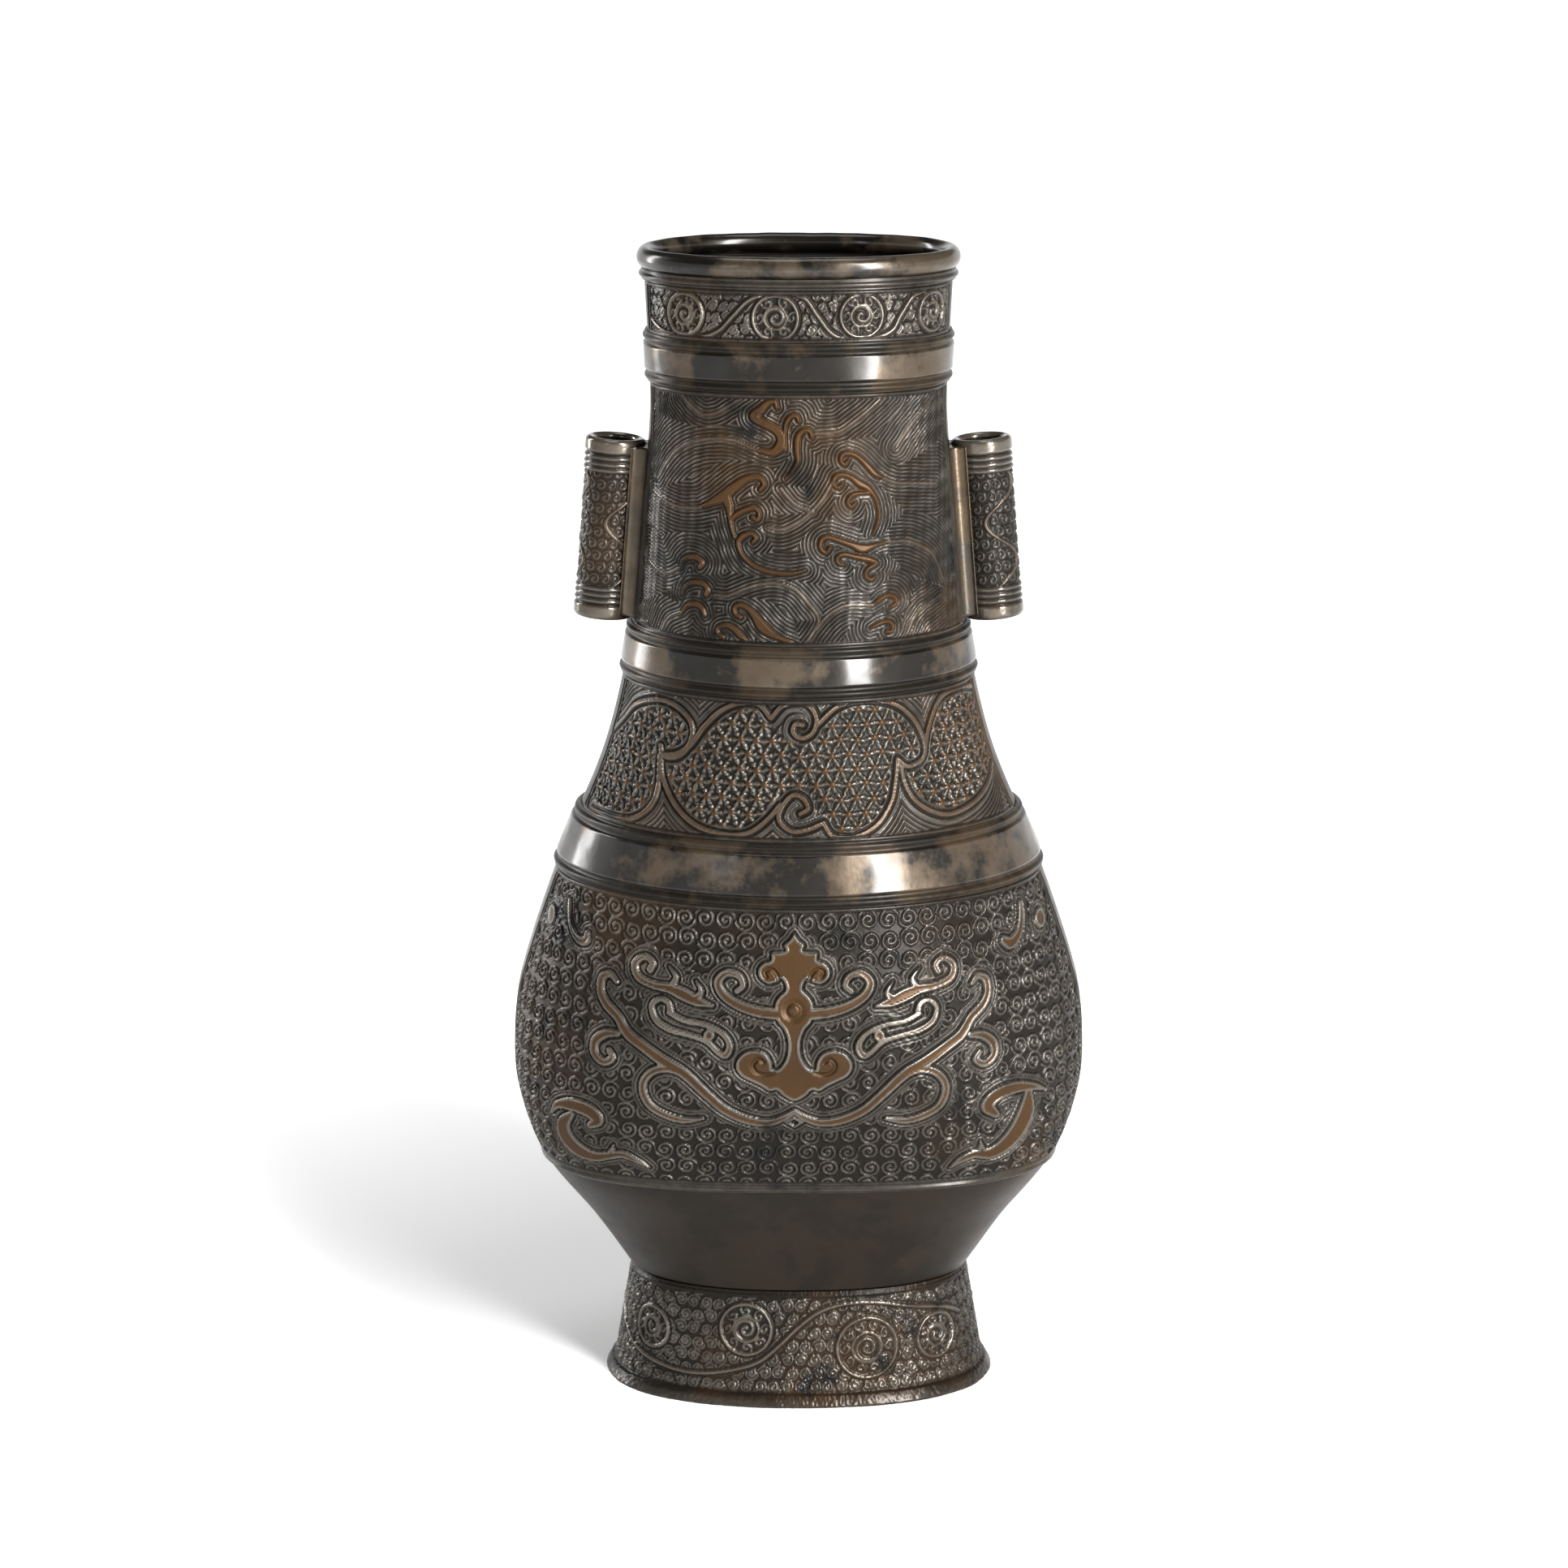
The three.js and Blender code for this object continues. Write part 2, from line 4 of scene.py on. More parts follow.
import bpy
import numpy as np
from bpy.props import FloatProperty, FloatVectorProperty, PointerProperty
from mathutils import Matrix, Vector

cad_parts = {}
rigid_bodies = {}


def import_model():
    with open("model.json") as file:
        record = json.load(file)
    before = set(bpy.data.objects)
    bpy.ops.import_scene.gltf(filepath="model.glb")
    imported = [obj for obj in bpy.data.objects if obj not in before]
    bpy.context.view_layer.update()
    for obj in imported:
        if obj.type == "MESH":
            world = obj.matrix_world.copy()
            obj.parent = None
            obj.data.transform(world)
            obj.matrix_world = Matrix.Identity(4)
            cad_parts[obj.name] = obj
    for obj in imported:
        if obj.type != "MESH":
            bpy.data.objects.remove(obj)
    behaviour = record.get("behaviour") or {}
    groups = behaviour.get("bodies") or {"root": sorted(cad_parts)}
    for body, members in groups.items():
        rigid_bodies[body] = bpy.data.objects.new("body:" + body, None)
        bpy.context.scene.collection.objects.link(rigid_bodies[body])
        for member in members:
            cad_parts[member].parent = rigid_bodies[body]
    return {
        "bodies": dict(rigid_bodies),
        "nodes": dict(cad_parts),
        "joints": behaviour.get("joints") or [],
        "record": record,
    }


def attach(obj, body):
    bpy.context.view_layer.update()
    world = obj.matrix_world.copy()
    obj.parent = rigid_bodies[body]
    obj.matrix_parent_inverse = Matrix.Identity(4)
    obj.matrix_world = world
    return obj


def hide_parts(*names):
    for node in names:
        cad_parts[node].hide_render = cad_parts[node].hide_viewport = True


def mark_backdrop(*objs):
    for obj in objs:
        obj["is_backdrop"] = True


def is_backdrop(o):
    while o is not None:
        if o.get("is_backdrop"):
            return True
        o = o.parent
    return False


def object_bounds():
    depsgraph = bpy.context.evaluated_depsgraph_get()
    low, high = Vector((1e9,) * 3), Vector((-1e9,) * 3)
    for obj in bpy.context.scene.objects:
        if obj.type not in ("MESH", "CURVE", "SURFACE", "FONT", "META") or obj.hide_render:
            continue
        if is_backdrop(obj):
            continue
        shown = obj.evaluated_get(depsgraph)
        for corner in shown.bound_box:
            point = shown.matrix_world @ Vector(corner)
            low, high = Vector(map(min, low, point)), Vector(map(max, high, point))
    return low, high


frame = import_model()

bl_info = {
    "name": "Bronze arrow vase",
    "version": (1, 0, 0),
    "blender": (4, 5, 0),
    "location": "3D view > Sidebar > Vase",
    "description": "Builds the relief skin, ears, foot and studio stage of a cast bronze arrow vase",
    "category": "Object",
}

CAD_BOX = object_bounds()
BODY = "root"
MM = 0.001
NEAR_BLACK = (0.009, 0.008, 0.007)

# Zones of the outside, in millimetres above the table
FOOT_TOP = 26.4
BULB_FLOOR = 55.2
BULB_TOP = 122.4
COLLAR_FLOOR = 134.2
COLLAR_TOP = 166.8
NECK_FLOOR = 176.0
THROAT_TOP = 232.0
SCROLL_FLOOR = 240.7
LIP_FLOOR = 254.1
LIP_TOP = 260.0
FOOT_GAP = 0.3
SEAM = 1.0
LIP_SEAT = LIP_FLOOR + 1.2

# Stations of the oval outside: level, full width, full depth and squareness of the superellipse
STATIONS = np.array([
    [26.4, 78.0, 48.0, 2.25],
    [39.9, 95.6, 59.2, 2.45],
    [55.2, 117.4, 74.8, 2.7],
    [70.0, 128.4, 85.8, 2.5],
    [83.4, 130.4, 92.0, 2.2],
    [95.5, 127.7, 92.6, 2.02],
    [122.4, 110.0, 85.0, 1.95],
    [149.8, 87.8, 72.6, 1.95],
    [176.0, 76.2, 65.2, 1.97],
    [204.0, 70.4, 57.5, 2.15],
    [224.2, 66.8, 51.6, 2.3],
    [254.1, 69.0, 49.0, 2.2],
])

# Foot, walls, lip, raised lines, plain bands and side strips
FOOT_HALF = (44.8, 28.9)
WAIST_HALF = (39.0, 24.0)
FOOT_RIM_HEIGHT = 5.0
FOOT_RIM_FLARE = 2.2
FOOT_WALL = 3.3
SOCKET_RIM = 2.7
LEDGE_RIM = 6.7
LEDGE_TOP = 19.3
LEDGE_FLOOR = 15.3
WALL = 3.2
SKIN = 1.2
LIP_RAISE = 0.9
LIP_THICKNESS = 3.9
RIDGE_RAISE = 0.55
RIDGE_HALF = 0.55
BAND_RAISE = 0.42
BAND_INSET = 1.7
STRIP_HALF = 7.8
LINE_HALF = 0.42
FRAME_GAP = 1.5

# Relief: its depth, its limit before the lift, and the lift of the ground away from the side strips
DEPTH = 0.75
TOP_LIMIT = -0.04
LIFT = 0.6
LIFT_FADE = 12.0

# Ground patterns: spirals, stars with their knobs, and the lines beside the clouds and waves
BULB_SPIRAL = 4.5
SCROLL_SPIRAL = 2.4
FOOT_SPIRAL = 3.1
SPIRAL_RAISE = 0.62
STAR_CELL = (3.7, 3.2)
KNOB_HALF = 0.95
CLOUD_COMB = 0.95
WAVE_COMB = 0.8

# Stage, in metres: how much the floor glows for the camera near the vase and far off, where it changes,
# how bright the world is, and where the backdrop, the floor's edge, the camera and its aim are
FLOOR_GLOW = (0.2, 1.1)
GLOW_REACH = (0.1, 0.5)
WORLD_LEVEL = 0.08
FLOOR_HALF = 12.0
CAMERA_RISE = math.radians(14.5)
CAMERA_DISTANCE = 0.9535
MIDDLE = (0, 0, 0.13)
BACKDROP_RADIUS = 11.9
BACKDROP_HEIGHT = 3.6

# Ears: the tube, the place of its foot and its lean, the hollow beside it, and its relief
EAR_RADIUS = 6.7
EAR_BORE = 4.6
EAR_HEIGHT = 40.4
EAR_FOOT = (43.6, 177.6)
EAR_LEAN = math.radians(4.7)
HOLLOW_RADIUS = 2.8
EAR_DEPTH = 0.5
EAR_RINGS = (4.2, 5.6, 6.9)
EAR_CURLS = 16
EAR_CURVES = 3

# Relief of one flat side, in millimetres. A stroke is a list of (x from the middle, level above the table,
# half width), and an outline a list of (x, level). The mask is mirrored about its own middle.
MASK_MIDDLE = -1.0
MASK_FIGURE = [
    (0, 116.3), (-1, 114.8), (-2.2, 113.7), (-1.9, 112.5), (-3.3, 112.2), (-5, 112), (-5, 110.4),
    (-6.7, 109.7), (-7.8, 108.2), (-7.5, 106.4), (-5.9, 105.2), (-4, 105.5), (-2.8, 106.3), (-2, 105.2),
    (-1.9, 103.9), (-3, 102.8), (-4, 101.3), (-4.3, 99), (-3.6, 96.8), (-2.3, 95.2), (-1.5, 93),
    (-1.4, 90.4), (-2, 88.2), (-3.2, 86.5), (-4.6, 86.1), (-4.9, 87.8), (-6, 89.7), (-8.1, 90.6),
    (-10.6, 90.1), (-12.3, 88.4), (-12.7, 86.3), (-11.6, 84.4), (-9.4, 83.2), (-7.4, 82.2), (-5.5, 81),
    (-3.8, 81.2), (-2.4, 79.8), (0, 78.6),
]
MASK_GROOVES = [
    [(-3.2, 104.8, 0.2), (-3.6, 107, 0.3), (-4.9, 108.4, 0.3), (-6.4, 107.8, 0.3), (-6, 106.7, 0.3)],
    [(-4.2, 85.4, 0.2), (-6.2, 84.9, 0.3), (-8.2, 85.4, 0.35), (-9, 87, 0.35), (-7.9, 88.4, 0.35),
     (-6.6, 87.8, 0.3)],
]
MASK_STROKES = [
    [(-3, 98.6, 1.3), (-7.5, 99, 1.3), (-12, 100.3, 1.2), (-15.4, 102.5, 1.1), (-16.5, 105.2, 1),
     (-14.6, 107.2, 0.9), (-12, 106.7, 0.8), (-11.1, 104.7, 0.7), (-12.4, 103.4, 0.7)],
    [(-26.9, 98.1, 0.8), (-27.5, 99.8, 0.7), (-29.4, 100.3, 0.7), (-31, 98.6, 0.7), (-30.2, 95.8, 0.8),
     (-27.3, 94, 0.8), (-23, 93.1, 0.7), (-19.2, 92, 0.7), (-16.6, 89.7, 0.7), (-14.9, 89.2, 0.9),
     (-14, 91.4, 0.8), (-15.6, 93.9, 0.7), (-19.4, 95.6, 0.7), (-24, 96.2, 0.7), (-27.2, 97.6, 0.7)],
    [(-31.4, 106.3, 0.8), (-30.8, 107.9, 0.8), (-32.6, 109, 0.8), (-34.7, 107.2, 0.9), (-34, 104.5, 1),
     (-30.7, 103.2, 1), (-27.3, 102.9, 1.2), (-24.2, 101.9, 1.5), (-21, 100.6, 1.2), (-17.8, 99.9, 0.4)],
    [(-26.6, 103.4, 0.8), (-25.7, 105.4, 0.6), (-27.3, 107.6, 0.2)],
    [(-21.4, 101.2, 1), (-20.2, 102.8, 0.6), (-21.4, 105, 0.2)],
    [(-38.8, 102.6, 0.6), (-40.2, 104, 0.8), (-42, 103, 1), (-42.4, 100.2, 1.1), (-41.2, 97.6, 1.2),
     (-38.6, 95.2, 1.2), (-36.5, 92, 1.3), (-33, 89.6, 1.3), (-28.6, 86.8, 1.4), (-24, 84.3, 1.3),
     (-19, 79.6, 1.2), (-15.2, 76.2, 1.2), (-10.5, 73.9, 1.2), (-6, 73.2, 1.1), (-2.6, 74.3, 0.9),
     (0, 76, 0.7)],
    [(-38.6, 91.6, 0.8), (-41.4, 91.1, 1.1), (-43.7, 89, 1.2), (-43.8, 86.3, 1.1), (-41.8, 84.8, 1),
     (-39.9, 86, 0.9), (-40.6, 87.6, 0.7)],
    [(-24, 84.3, 1), (-27.6, 85.2, 1), (-30.9, 84.2, 1), (-32.9, 81.8, 1), (-33.1, 79, 1), (-31.5, 76, 1),
     (-27.8, 74, 1), (-24, 73.2, 0.9), (-20, 73.8, 0.4)],
    [(-1.8, 73.4, 0.4), (0, 74.4, 0.4)],
    [(-1.8, 73.4, 0.4), (0, 72.2, 0.4)],
]
LONE_STROKES = [
    [(-46, 69.4, 0.8), (-44.4, 70.9, 1.3), (-46.2, 72.8, 1.5), (-50, 73.5, 1.4), (-53.4, 72.6, 0.9),
     (-54.8, 70.4, 0.4)],
    [(-50.4, 71, 0.8), (-52.2, 68.2, 1.6), (-51.6, 65, 1.8), (-49, 62.5, 1.7), (-45.4, 61.5, 1.3),
     (-42.2, 62.3, 1), (-39, 63.1, 0.9), (-35.6, 61.8, 0.6), (-33, 60.3, 0.2)],
    [(-41.6, 62.6, 0.9), (-41, 65.2, 0.2)],
    [(-50.6, 117, 0.5), (-50.6, 114, 0.6), (-50, 111.4, 0.7), (-48.4, 109.6, 0.8), (-46.7, 109.9, 0.9),
     (-46.4, 111.4, 0.7)],
    [(43.4, 72.6, 0.9), (41.6, 74.8, 1.4), (43.5, 77, 1.4), (47.5, 78, 1.3), (51.5, 77.4, 0.9),
     (54.4, 76, 0.4)],
    [(50.8, 76, 1), (50.4, 72, 1.9), (48.7, 68, 2), (46, 64.8, 1.8), (42.5, 62.9, 1.4), (39, 63.2, 1),
     (36, 62.2, 0.8), (33.4, 60.2, 0.2)],
    [(40.6, 63.4, 1), (40.2, 66.2, 0.2)],
    [(48.8, 117, 0.6), (49, 114, 0.8), (48.4, 111, 1), (46.6, 109.4, 1.2), (45, 110.4, 0.9)],
]
PEARLS = [(-19.5, 93.4, 1.3), (17.5, 93.4, 1.3), (-55, 112.4, 2.2), (53.5, 112.4, 2.2)]
NOSE_BOSS = (-1.0, 99.4, 1.5, 3.2)

CLOUD_STROKES = [
    [(-44, 149), (-39, 156.5), (-35.5, 161), (-30.5, 163.2), (-26.5, 162.5), (-23.6, 160), (-23, 157),
     (-24.4, 153.6), (-27, 151.6), (-29.6, 151.6), (-30, 153.6)],
    [(-30.2, 151.4), (-30.6, 145), (-32, 141), (-35, 138), (-39, 136.5), (-46, 136.4)],
    [(-30, 151.6), (-26.2, 152.6), (-23.2, 155), (-20.4, 159), (-16.5, 163), (-12, 165), (-8.5, 164.6),
     (-6, 161.8)],
    [(-6, 161.8), (-3.5, 164.6), (-0.5, 165.4), (2.3, 164.5), (3.8, 161.8), (3, 158.8), (0.6, 157.6),
     (-1.2, 158.8), (-0.8, 160.6), (0.8, 160.4)],
    [(4, 160.5), (8, 164), (12.5, 165.4), (17, 165.1), (21.3, 163.5), (24.5, 160.5), (26.5, 157),
     (27.4, 153.5), (26.5, 151), (23.6, 150.2), (21.4, 152)],
    [(21.4, 152), (20.9, 147), (20, 143), (17, 138.6), (12.2, 136.3), (7.5, 136.6), (5.3, 139.5)],
    [(5.3, 139.5), (2, 138.2), (-1.5, 137.8), (-4.2, 140), (-3.7, 142.8), (-1.4, 145.4), (0.9, 144.8),
     (2, 142.6), (0.3, 141.5)],
    [(-30, 151), (-29.6, 147), (-27, 141.8), (-22.5, 138), (-16.2, 136.6), (-11, 137.2), (-7, 140),
     (-4, 143.4)],
    [(27.4, 154), (28.2, 158), (30.2, 162.8), (33.2, 164.6), (37, 164.3), (42, 161)],
    [(22.2, 151), (22.9, 147), (25.3, 142.8), (29.5, 139.8), (33.8, 138.8), (39, 140.3), (42.2, 143.3),
     (43.5, 147), (46, 147.6), (47, 145), (45.6, 143.8)],
]
DIAPER_OUTLINES = [
    [(-29.4, 147), (-29, 151), (-26, 152), (-23, 154.6), (-20, 159), (-16, 162.6), (-12, 164.2),
     (-8.5, 163.8), (-6, 161), (-3, 157.6), (0, 156), (3, 157.6), (5, 160.6), (8, 163.2), (12.5, 164.6),
     (17, 164.3), (21, 162.6), (24, 159.6), (25.8, 156), (26.4, 153), (24, 151.4), (21.2, 151),
     (20.3, 147), (19.5, 143), (16.6, 139.2), (12.2, 137), (7.6, 137.3), (5.6, 139.6), (3.4, 143),
     (1.6, 146), (-1.4, 146.7), (-4.7, 144.4), (-7.3, 140.8), (-11, 138), (-16, 137.4), (-22, 138.8),
     (-26.6, 142.2)],
    [(23, 147), (22.8, 150.4), (27.8, 151.5), (28.7, 157), (30.8, 162), (33.8, 163.8), (37.5, 163.3),
     (42, 159.4), (46, 152), (44.4, 148.4), (42.8, 147.2), (41.6, 143.8), (38.7, 141), (33.8, 139.4),
     (29.8, 140.4), (25.7, 143.2)],
    [(-31, 149), (-30.2, 151.2), (-26.6, 151.2), (-24, 153.8), (-23.5, 157.4), (-24.2, 159.6),
     (-27, 161.8), (-31, 162.4), (-35.2, 160.4), (-39.2, 155.4), (-43, 148), (-46, 142), (-45, 137.2),
     (-39, 137.1), (-35.3, 138.8), (-32.5, 141.6), (-31.2, 145)],
]

WAVE_CRESTS = [
    [(-4.7, 228.2, 0.5), (-5.2, 229.5, 0.6), (-6.7, 229.1, 0.7), (-8, 227.8, 0.9), (-9.6, 226.3, 1.1),
     (-8.4, 225.2, 1), (-6, 224, 0.9), (-4.2, 222.7, 1), (-3.7, 221, 1.1), (-4.4, 219.4, 1.1),
     (-6, 218.6, 0.8), (-8.4, 218.9, 0.5)],
    [(0, 225.3, 0.5), (-0.5, 226.3, 0.5), (-1.7, 226.3, 0.5), (-2.6, 225.1, 0.5), (-3, 223.6, 0.4),
     (-2.9, 219, 0.3)],
    [(2.8, 221.9, 0.5), (2.3, 223.1, 0.5), (0.9, 223.2, 0.6), (-0.2, 221.8, 0.7), (-0.4, 219.3, 0.7),
     (-0.2, 216.9, 0.6), (-1.2, 215, 0.5), (-2.8, 213, 0.2)],
    [(-8.3, 210.7, 0.5), (-7.5, 211.8, 0.5), (-8.2, 213, 0.6), (-9.8, 213.3, 0.7), (-11.8, 212.6, 0.8),
     (-14, 210.9, 1), (-16.3, 208.8, 1.1), (-18.6, 207.5, 0.7), (-21.2, 206.2, 0.3)],
    [(-15.8, 208.9, 1.2), (-15, 207, 0.9), (-14.8, 204.8, 0.6), (-14.4, 202.3, 0.5), (-13.8, 200.3, 0.4)],
    [(-10, 204.7, 0.5), (-8.9, 204.3, 0.5), (-8.5, 205.7, 0.5), (-9.7, 206.8, 0.6), (-11.7, 206.2, 0.6),
     (-13.5, 205.2, 0.6), (-14.6, 204, 0.5)],
    [(-9.9, 199.5, 0.5), (-9.2, 200.4, 0.5), (-10.4, 201.3, 0.5), (-12.1, 200.6, 0.7), (-13, 199.2, 0.6),
     (-12.5, 197.2, 0.5), (-11.2, 195.5, 0.5), (-8.9, 194, 0.5), (-5.6, 193.1, 0.5), (-1.9, 192.9, 0.4),
     (1.4, 193.6, 0.2)],
    [(10.6, 216.8, 0.4), (9.8, 215.9, 0.5), (9, 216.9, 0.5), (9.5, 218.1, 0.6), (11.2, 218.2, 0.6),
     (13, 217.2, 0.6), (14.9, 215.3, 0.7), (16.5, 213.6, 0.7), (18.4, 212.6, 0.3)],
    [(9.4, 211.9, 0.4), (8.4, 211, 0.5), (7.4, 212, 0.5), (7.9, 213.4, 0.6), (9.4, 213.8, 0.6),
     (11.2, 213.2, 0.6), (13, 211.8, 0.8), (15, 210.6, 0.7), (16.5, 208.5, 0.5), (17.2, 206, 0.5),
     (17.1, 203.6, 0.5), (16, 200.8, 0.3)],
    [(12.1, 207.7, 0.4), (11.2, 206.9, 0.5), (10.5, 208, 0.5), (11.3, 209.3, 0.5), (13.2, 209.7, 0.5),
     (15.4, 209.6, 0.4)],
    [(6.7, 198.3, 0.5), (5.8, 197.3, 0.5), (4.7, 198.4, 0.6), (4.9, 200, 0.6), (6.2, 200.6, 0.6),
     (8.5, 199.9, 0.6), (11.4, 198.8, 0.7), (13.8, 197.9, 1), (16.4, 198.4, 0.5), (19.6, 199, 0.2)],
    [(9.6, 194.6, 0.4), (8.5, 195, 0.5), (8.3, 196.2, 0.5), (9.7, 196.8, 0.6), (12.3, 196.2, 0.6),
     (15, 195.5, 0.7), (16.8, 194.6, 0.5), (14.8, 193.4, 0.5), (14.4, 192, 0.5), (15.6, 191.1, 0.5),
     (16.4, 191.8, 0.4)],
    [(-25.6, 192.3, 0.3), (-25.2, 194, 0.5), (-23.8, 195.2, 0.6), (-22, 195.3, 0.6), (-20.8, 194.3, 0.6),
     (-21.4, 193.2, 0.5)],
    [(-25.4, 186.8, 0.3), (-24.8, 188.4, 0.5), (-23.2, 189.7, 0.6), (-21, 189.9, 0.6),
     (-19.6, 188.7, 0.6), (-20, 187.4, 0.5)],
    [(-25.4, 182.9, 0.3), (-24.2, 184.6, 0.5), (-22.4, 185.2, 0.6), (-20.8, 184.4, 0.6),
     (-20.3, 183.1, 0.5)],
    [(-12.6, 183.2, 0.5), (-13.6, 183.9, 0.5), (-13.9, 185, 0.5), (-12.9, 185.8, 0.6),
     (-11.2, 185.3, 0.6), (-9.6, 183.8, 0.8), (-8, 181.6, 1.2), (-6, 180, 0.9), (-3.7, 178.9, 0.5),
     (0, 177.6, 0.3)],
    [(-16.3, 178.7, 0.5), (-17.5, 179.5, 0.5), (-17.3, 180.7, 0.5), (-15.6, 181.3, 0.6),
     (-13.9, 180.6, 0.7), (-12.4, 179.2, 0.7), (-11.2, 178.3, 0.3)],
    [(20, 184.9, 0.4), (21, 185.5, 0.5), (20.8, 186.8, 0.5), (19.4, 187.4, 0.5), (17.6, 186.8, 0.5),
     (16, 185.6, 0.3)],
    [(19, 179.6, 0.4), (20.1, 179.6, 0.5), (20.3, 181, 0.5), (19.2, 181.8, 0.5), (17.4, 181.5, 0.5),
     (15.6, 180.8, 0.3)],
]
SWELL_LINES = [
    [(-8.4, 218.9), (-11.2, 219.9), (-14, 221), (-17.7, 221.2), (-21.4, 220.5), (-24.7, 218.9),
     (-27.5, 216.2), (-30.6, 211)],
    [(-24.9, 229.8), (-22.8, 227.5), (-20.5, 226.2), (-17.7, 226.7), (-14.9, 228.4), (-11, 231)],
    [(3.6, 222.6), (8.4, 223), (11.2, 224.6), (14.9, 227.4), (19, 231)],
    [(7, 212), (5.6, 209.6), (3.7, 207.2), (0.9, 204.7), (-1.9, 203), (-4.2, 202.3), (-6.5, 202.8)],
    [(-18.2, 187.7), (-15.4, 187.7), (-12.1, 189.2), (-8.4, 190.5), (-4.7, 190.8), (-0.9, 189.5),
     (1.9, 186.6), (4.2, 183.2), (2.8, 179.9), (0.9, 177.5)],
    [(3.7, 181), (5.6, 183.3), (7.9, 185), (10.7, 185.9), (16, 185.6)],
    [(18.4, 212.6), (21, 211.5), (24.7, 211), (30, 210)],
    [(-32, 208), (-27, 206), (-24.2, 205.8), (-21.2, 206.2)],
    [(21, 219), (24, 223), (29, 229)],
    [(-33, 192.5), (-29, 190.8), (-26, 192.3)],
    [(19.6, 199), (24, 198.5), (29, 195), (31.5, 189)],
    [(23, 177.5), (26, 183), (31, 186)],
    [(-30, 177.5), (-28.5, 181), (-25.6, 182.9)],
    [(-4, 211), (-1, 207.6), (3, 206)],
]

FOOT_MEDALLIONS = [(-33.5, 15.0, 4.6), (-12, 17.2, 5.8), (15.6, 12.8, 6.9), (31.5, 13.6, 5.0)]
FOOT_VINE = [
    (-43, 17), (-38, 9.5), (-31, 6.8), (-24, 6.2), (-17, 7.2), (-9.5, 9.6), (-4.5, 13.6), (0, 18),
    (5, 21.6), (11, 23.2), (18, 23), (25, 21.4), (33, 19.5), (37, 17),
]
SCROLL_MEDALLIONS = [(-24.5, 247.4, 4.4), (-5, 247.2, 4.8), (13.5, 247.6, 4.6), (29, 247.4, 4.2)]
SCROLL_VINE = [
    (-33, 246), (-29.5, 243.4), (-23, 242.2), (-17.5, 244), (-14, 247.6), (-10.5, 251), (-5, 252.8),
    (1, 251.6), (4, 247.8), (7.5, 243.6), (13, 242.2), (19.5, 243.8), (22, 247.6), (25, 251.4),
    (30, 252.6),
]


def hermite(level, column):
    """Station value at each level: a cubic between two stations, with slopes from their neighbours."""
    z = STATIONS[:, 0]
    value = STATIONS[:, column]
    last = len(z) - 1
    after = np.minimum(np.arange(last + 1) + 1, last)
    before = np.maximum(np.arange(last + 1) - 1, 0)
    slope = (value[after] - value[before]) / (z[after] - z[before])
    k = np.clip(np.searchsorted(z, level, side="right") - 1, 0, last - 1)
    span = z[k + 1] - z[k]
    t = np.clip((level - z[k]) / span, 0, 1)
    rise = value[k + 1] - value[k]
    a, b = slope[k] * span, slope[k + 1] * span
    return value[k] + a * t + (3 * rise - 2 * a - b) * t**2 + (a + b - 2 * rise) * t**3


def outline(level):
    """Half width, half depth and squareness of the outside at each level, foot included."""
    level = np.asarray(level, float)
    splay = np.clip((FOOT_TOP - level) / (FOOT_TOP - FOOT_RIM_HEIGHT), 0, 1)
    flare = FOOT_RIM_FLARE * np.clip(1 - level / FOOT_RIM_HEIGHT, 0, 1) ** 1.3
    halves = zip(WAIST_HALF, FOOT_HALF)
    foot = [waist + splay * (half - waist - FOOT_RIM_FLARE) + flare for waist, half in halves]
    on_foot = level < FOOT_TOP
    return (
        np.where(on_foot, foot[0], hermite(level, 1) / 2),
        np.where(on_foot, foot[1], hermite(level, 2) / 2),
        np.where(on_foot, STATIONS[0, 3], hermite(level, 3)),
    )


def turn(columns):
    """Angles round the vase, from the middle of the back past the left side and the front."""
    return -1.5 * math.pi + 2 * math.pi * np.arange(columns) / columns


def oval(level, grow, angle, height=None):
    """Superellipse with half axes a and b, grown a little: radius (|cos/a|^n + |sin/b|^n)^(-1/n)."""
    a, b, n = (each[:, None] for each in outline(level))
    a, b = a + grow[:, None], b + grow[:, None]
    c, s = np.cos(angle)[None, :], np.sin(angle)[None, :]
    radius = (np.abs(c / a) ** n + np.abs(s / b) ** n) ** (-1 / n)
    z = np.broadcast_to((level if height is None else height)[:, None], radius.shape)
    return np.stack([radius * c, radius * s, z], axis=-1)


def smooth(low, high, x):
    t = np.clip((x - low) / (high - low), 0, 1)
    return t * t * (3 - 2 * t)


def rounded(distance, half):
    """Half-round line: the square root of 1 - (distance / half)^2, and nothing past the half width."""
    return np.sqrt(np.clip(1 - (distance / half) ** 2, 0, 1))


def spline(points, steps=6):
    """Catmull-Rom curve through the points, with a few steps between each two."""
    p = np.array(points, float)
    if len(p) < 3:
        return p
    p = np.vstack([2 * p[0] - p[1], p, 2 * p[-1] - p[-2]])
    t = np.linspace(0, 1, steps, endpoint=False)[:, None]
    runs = [
        0.5 * (2 * b + (c - a) * t + (2 * a - 5 * b + 4 * c - d) * t**2 + (3 * b - a - 3 * c + d) * t**3)
        for a, b, c, d in zip(p, p[1:], p[2:], p[3:])
    ]
    return np.vstack(runs + [p[-2:-1]])


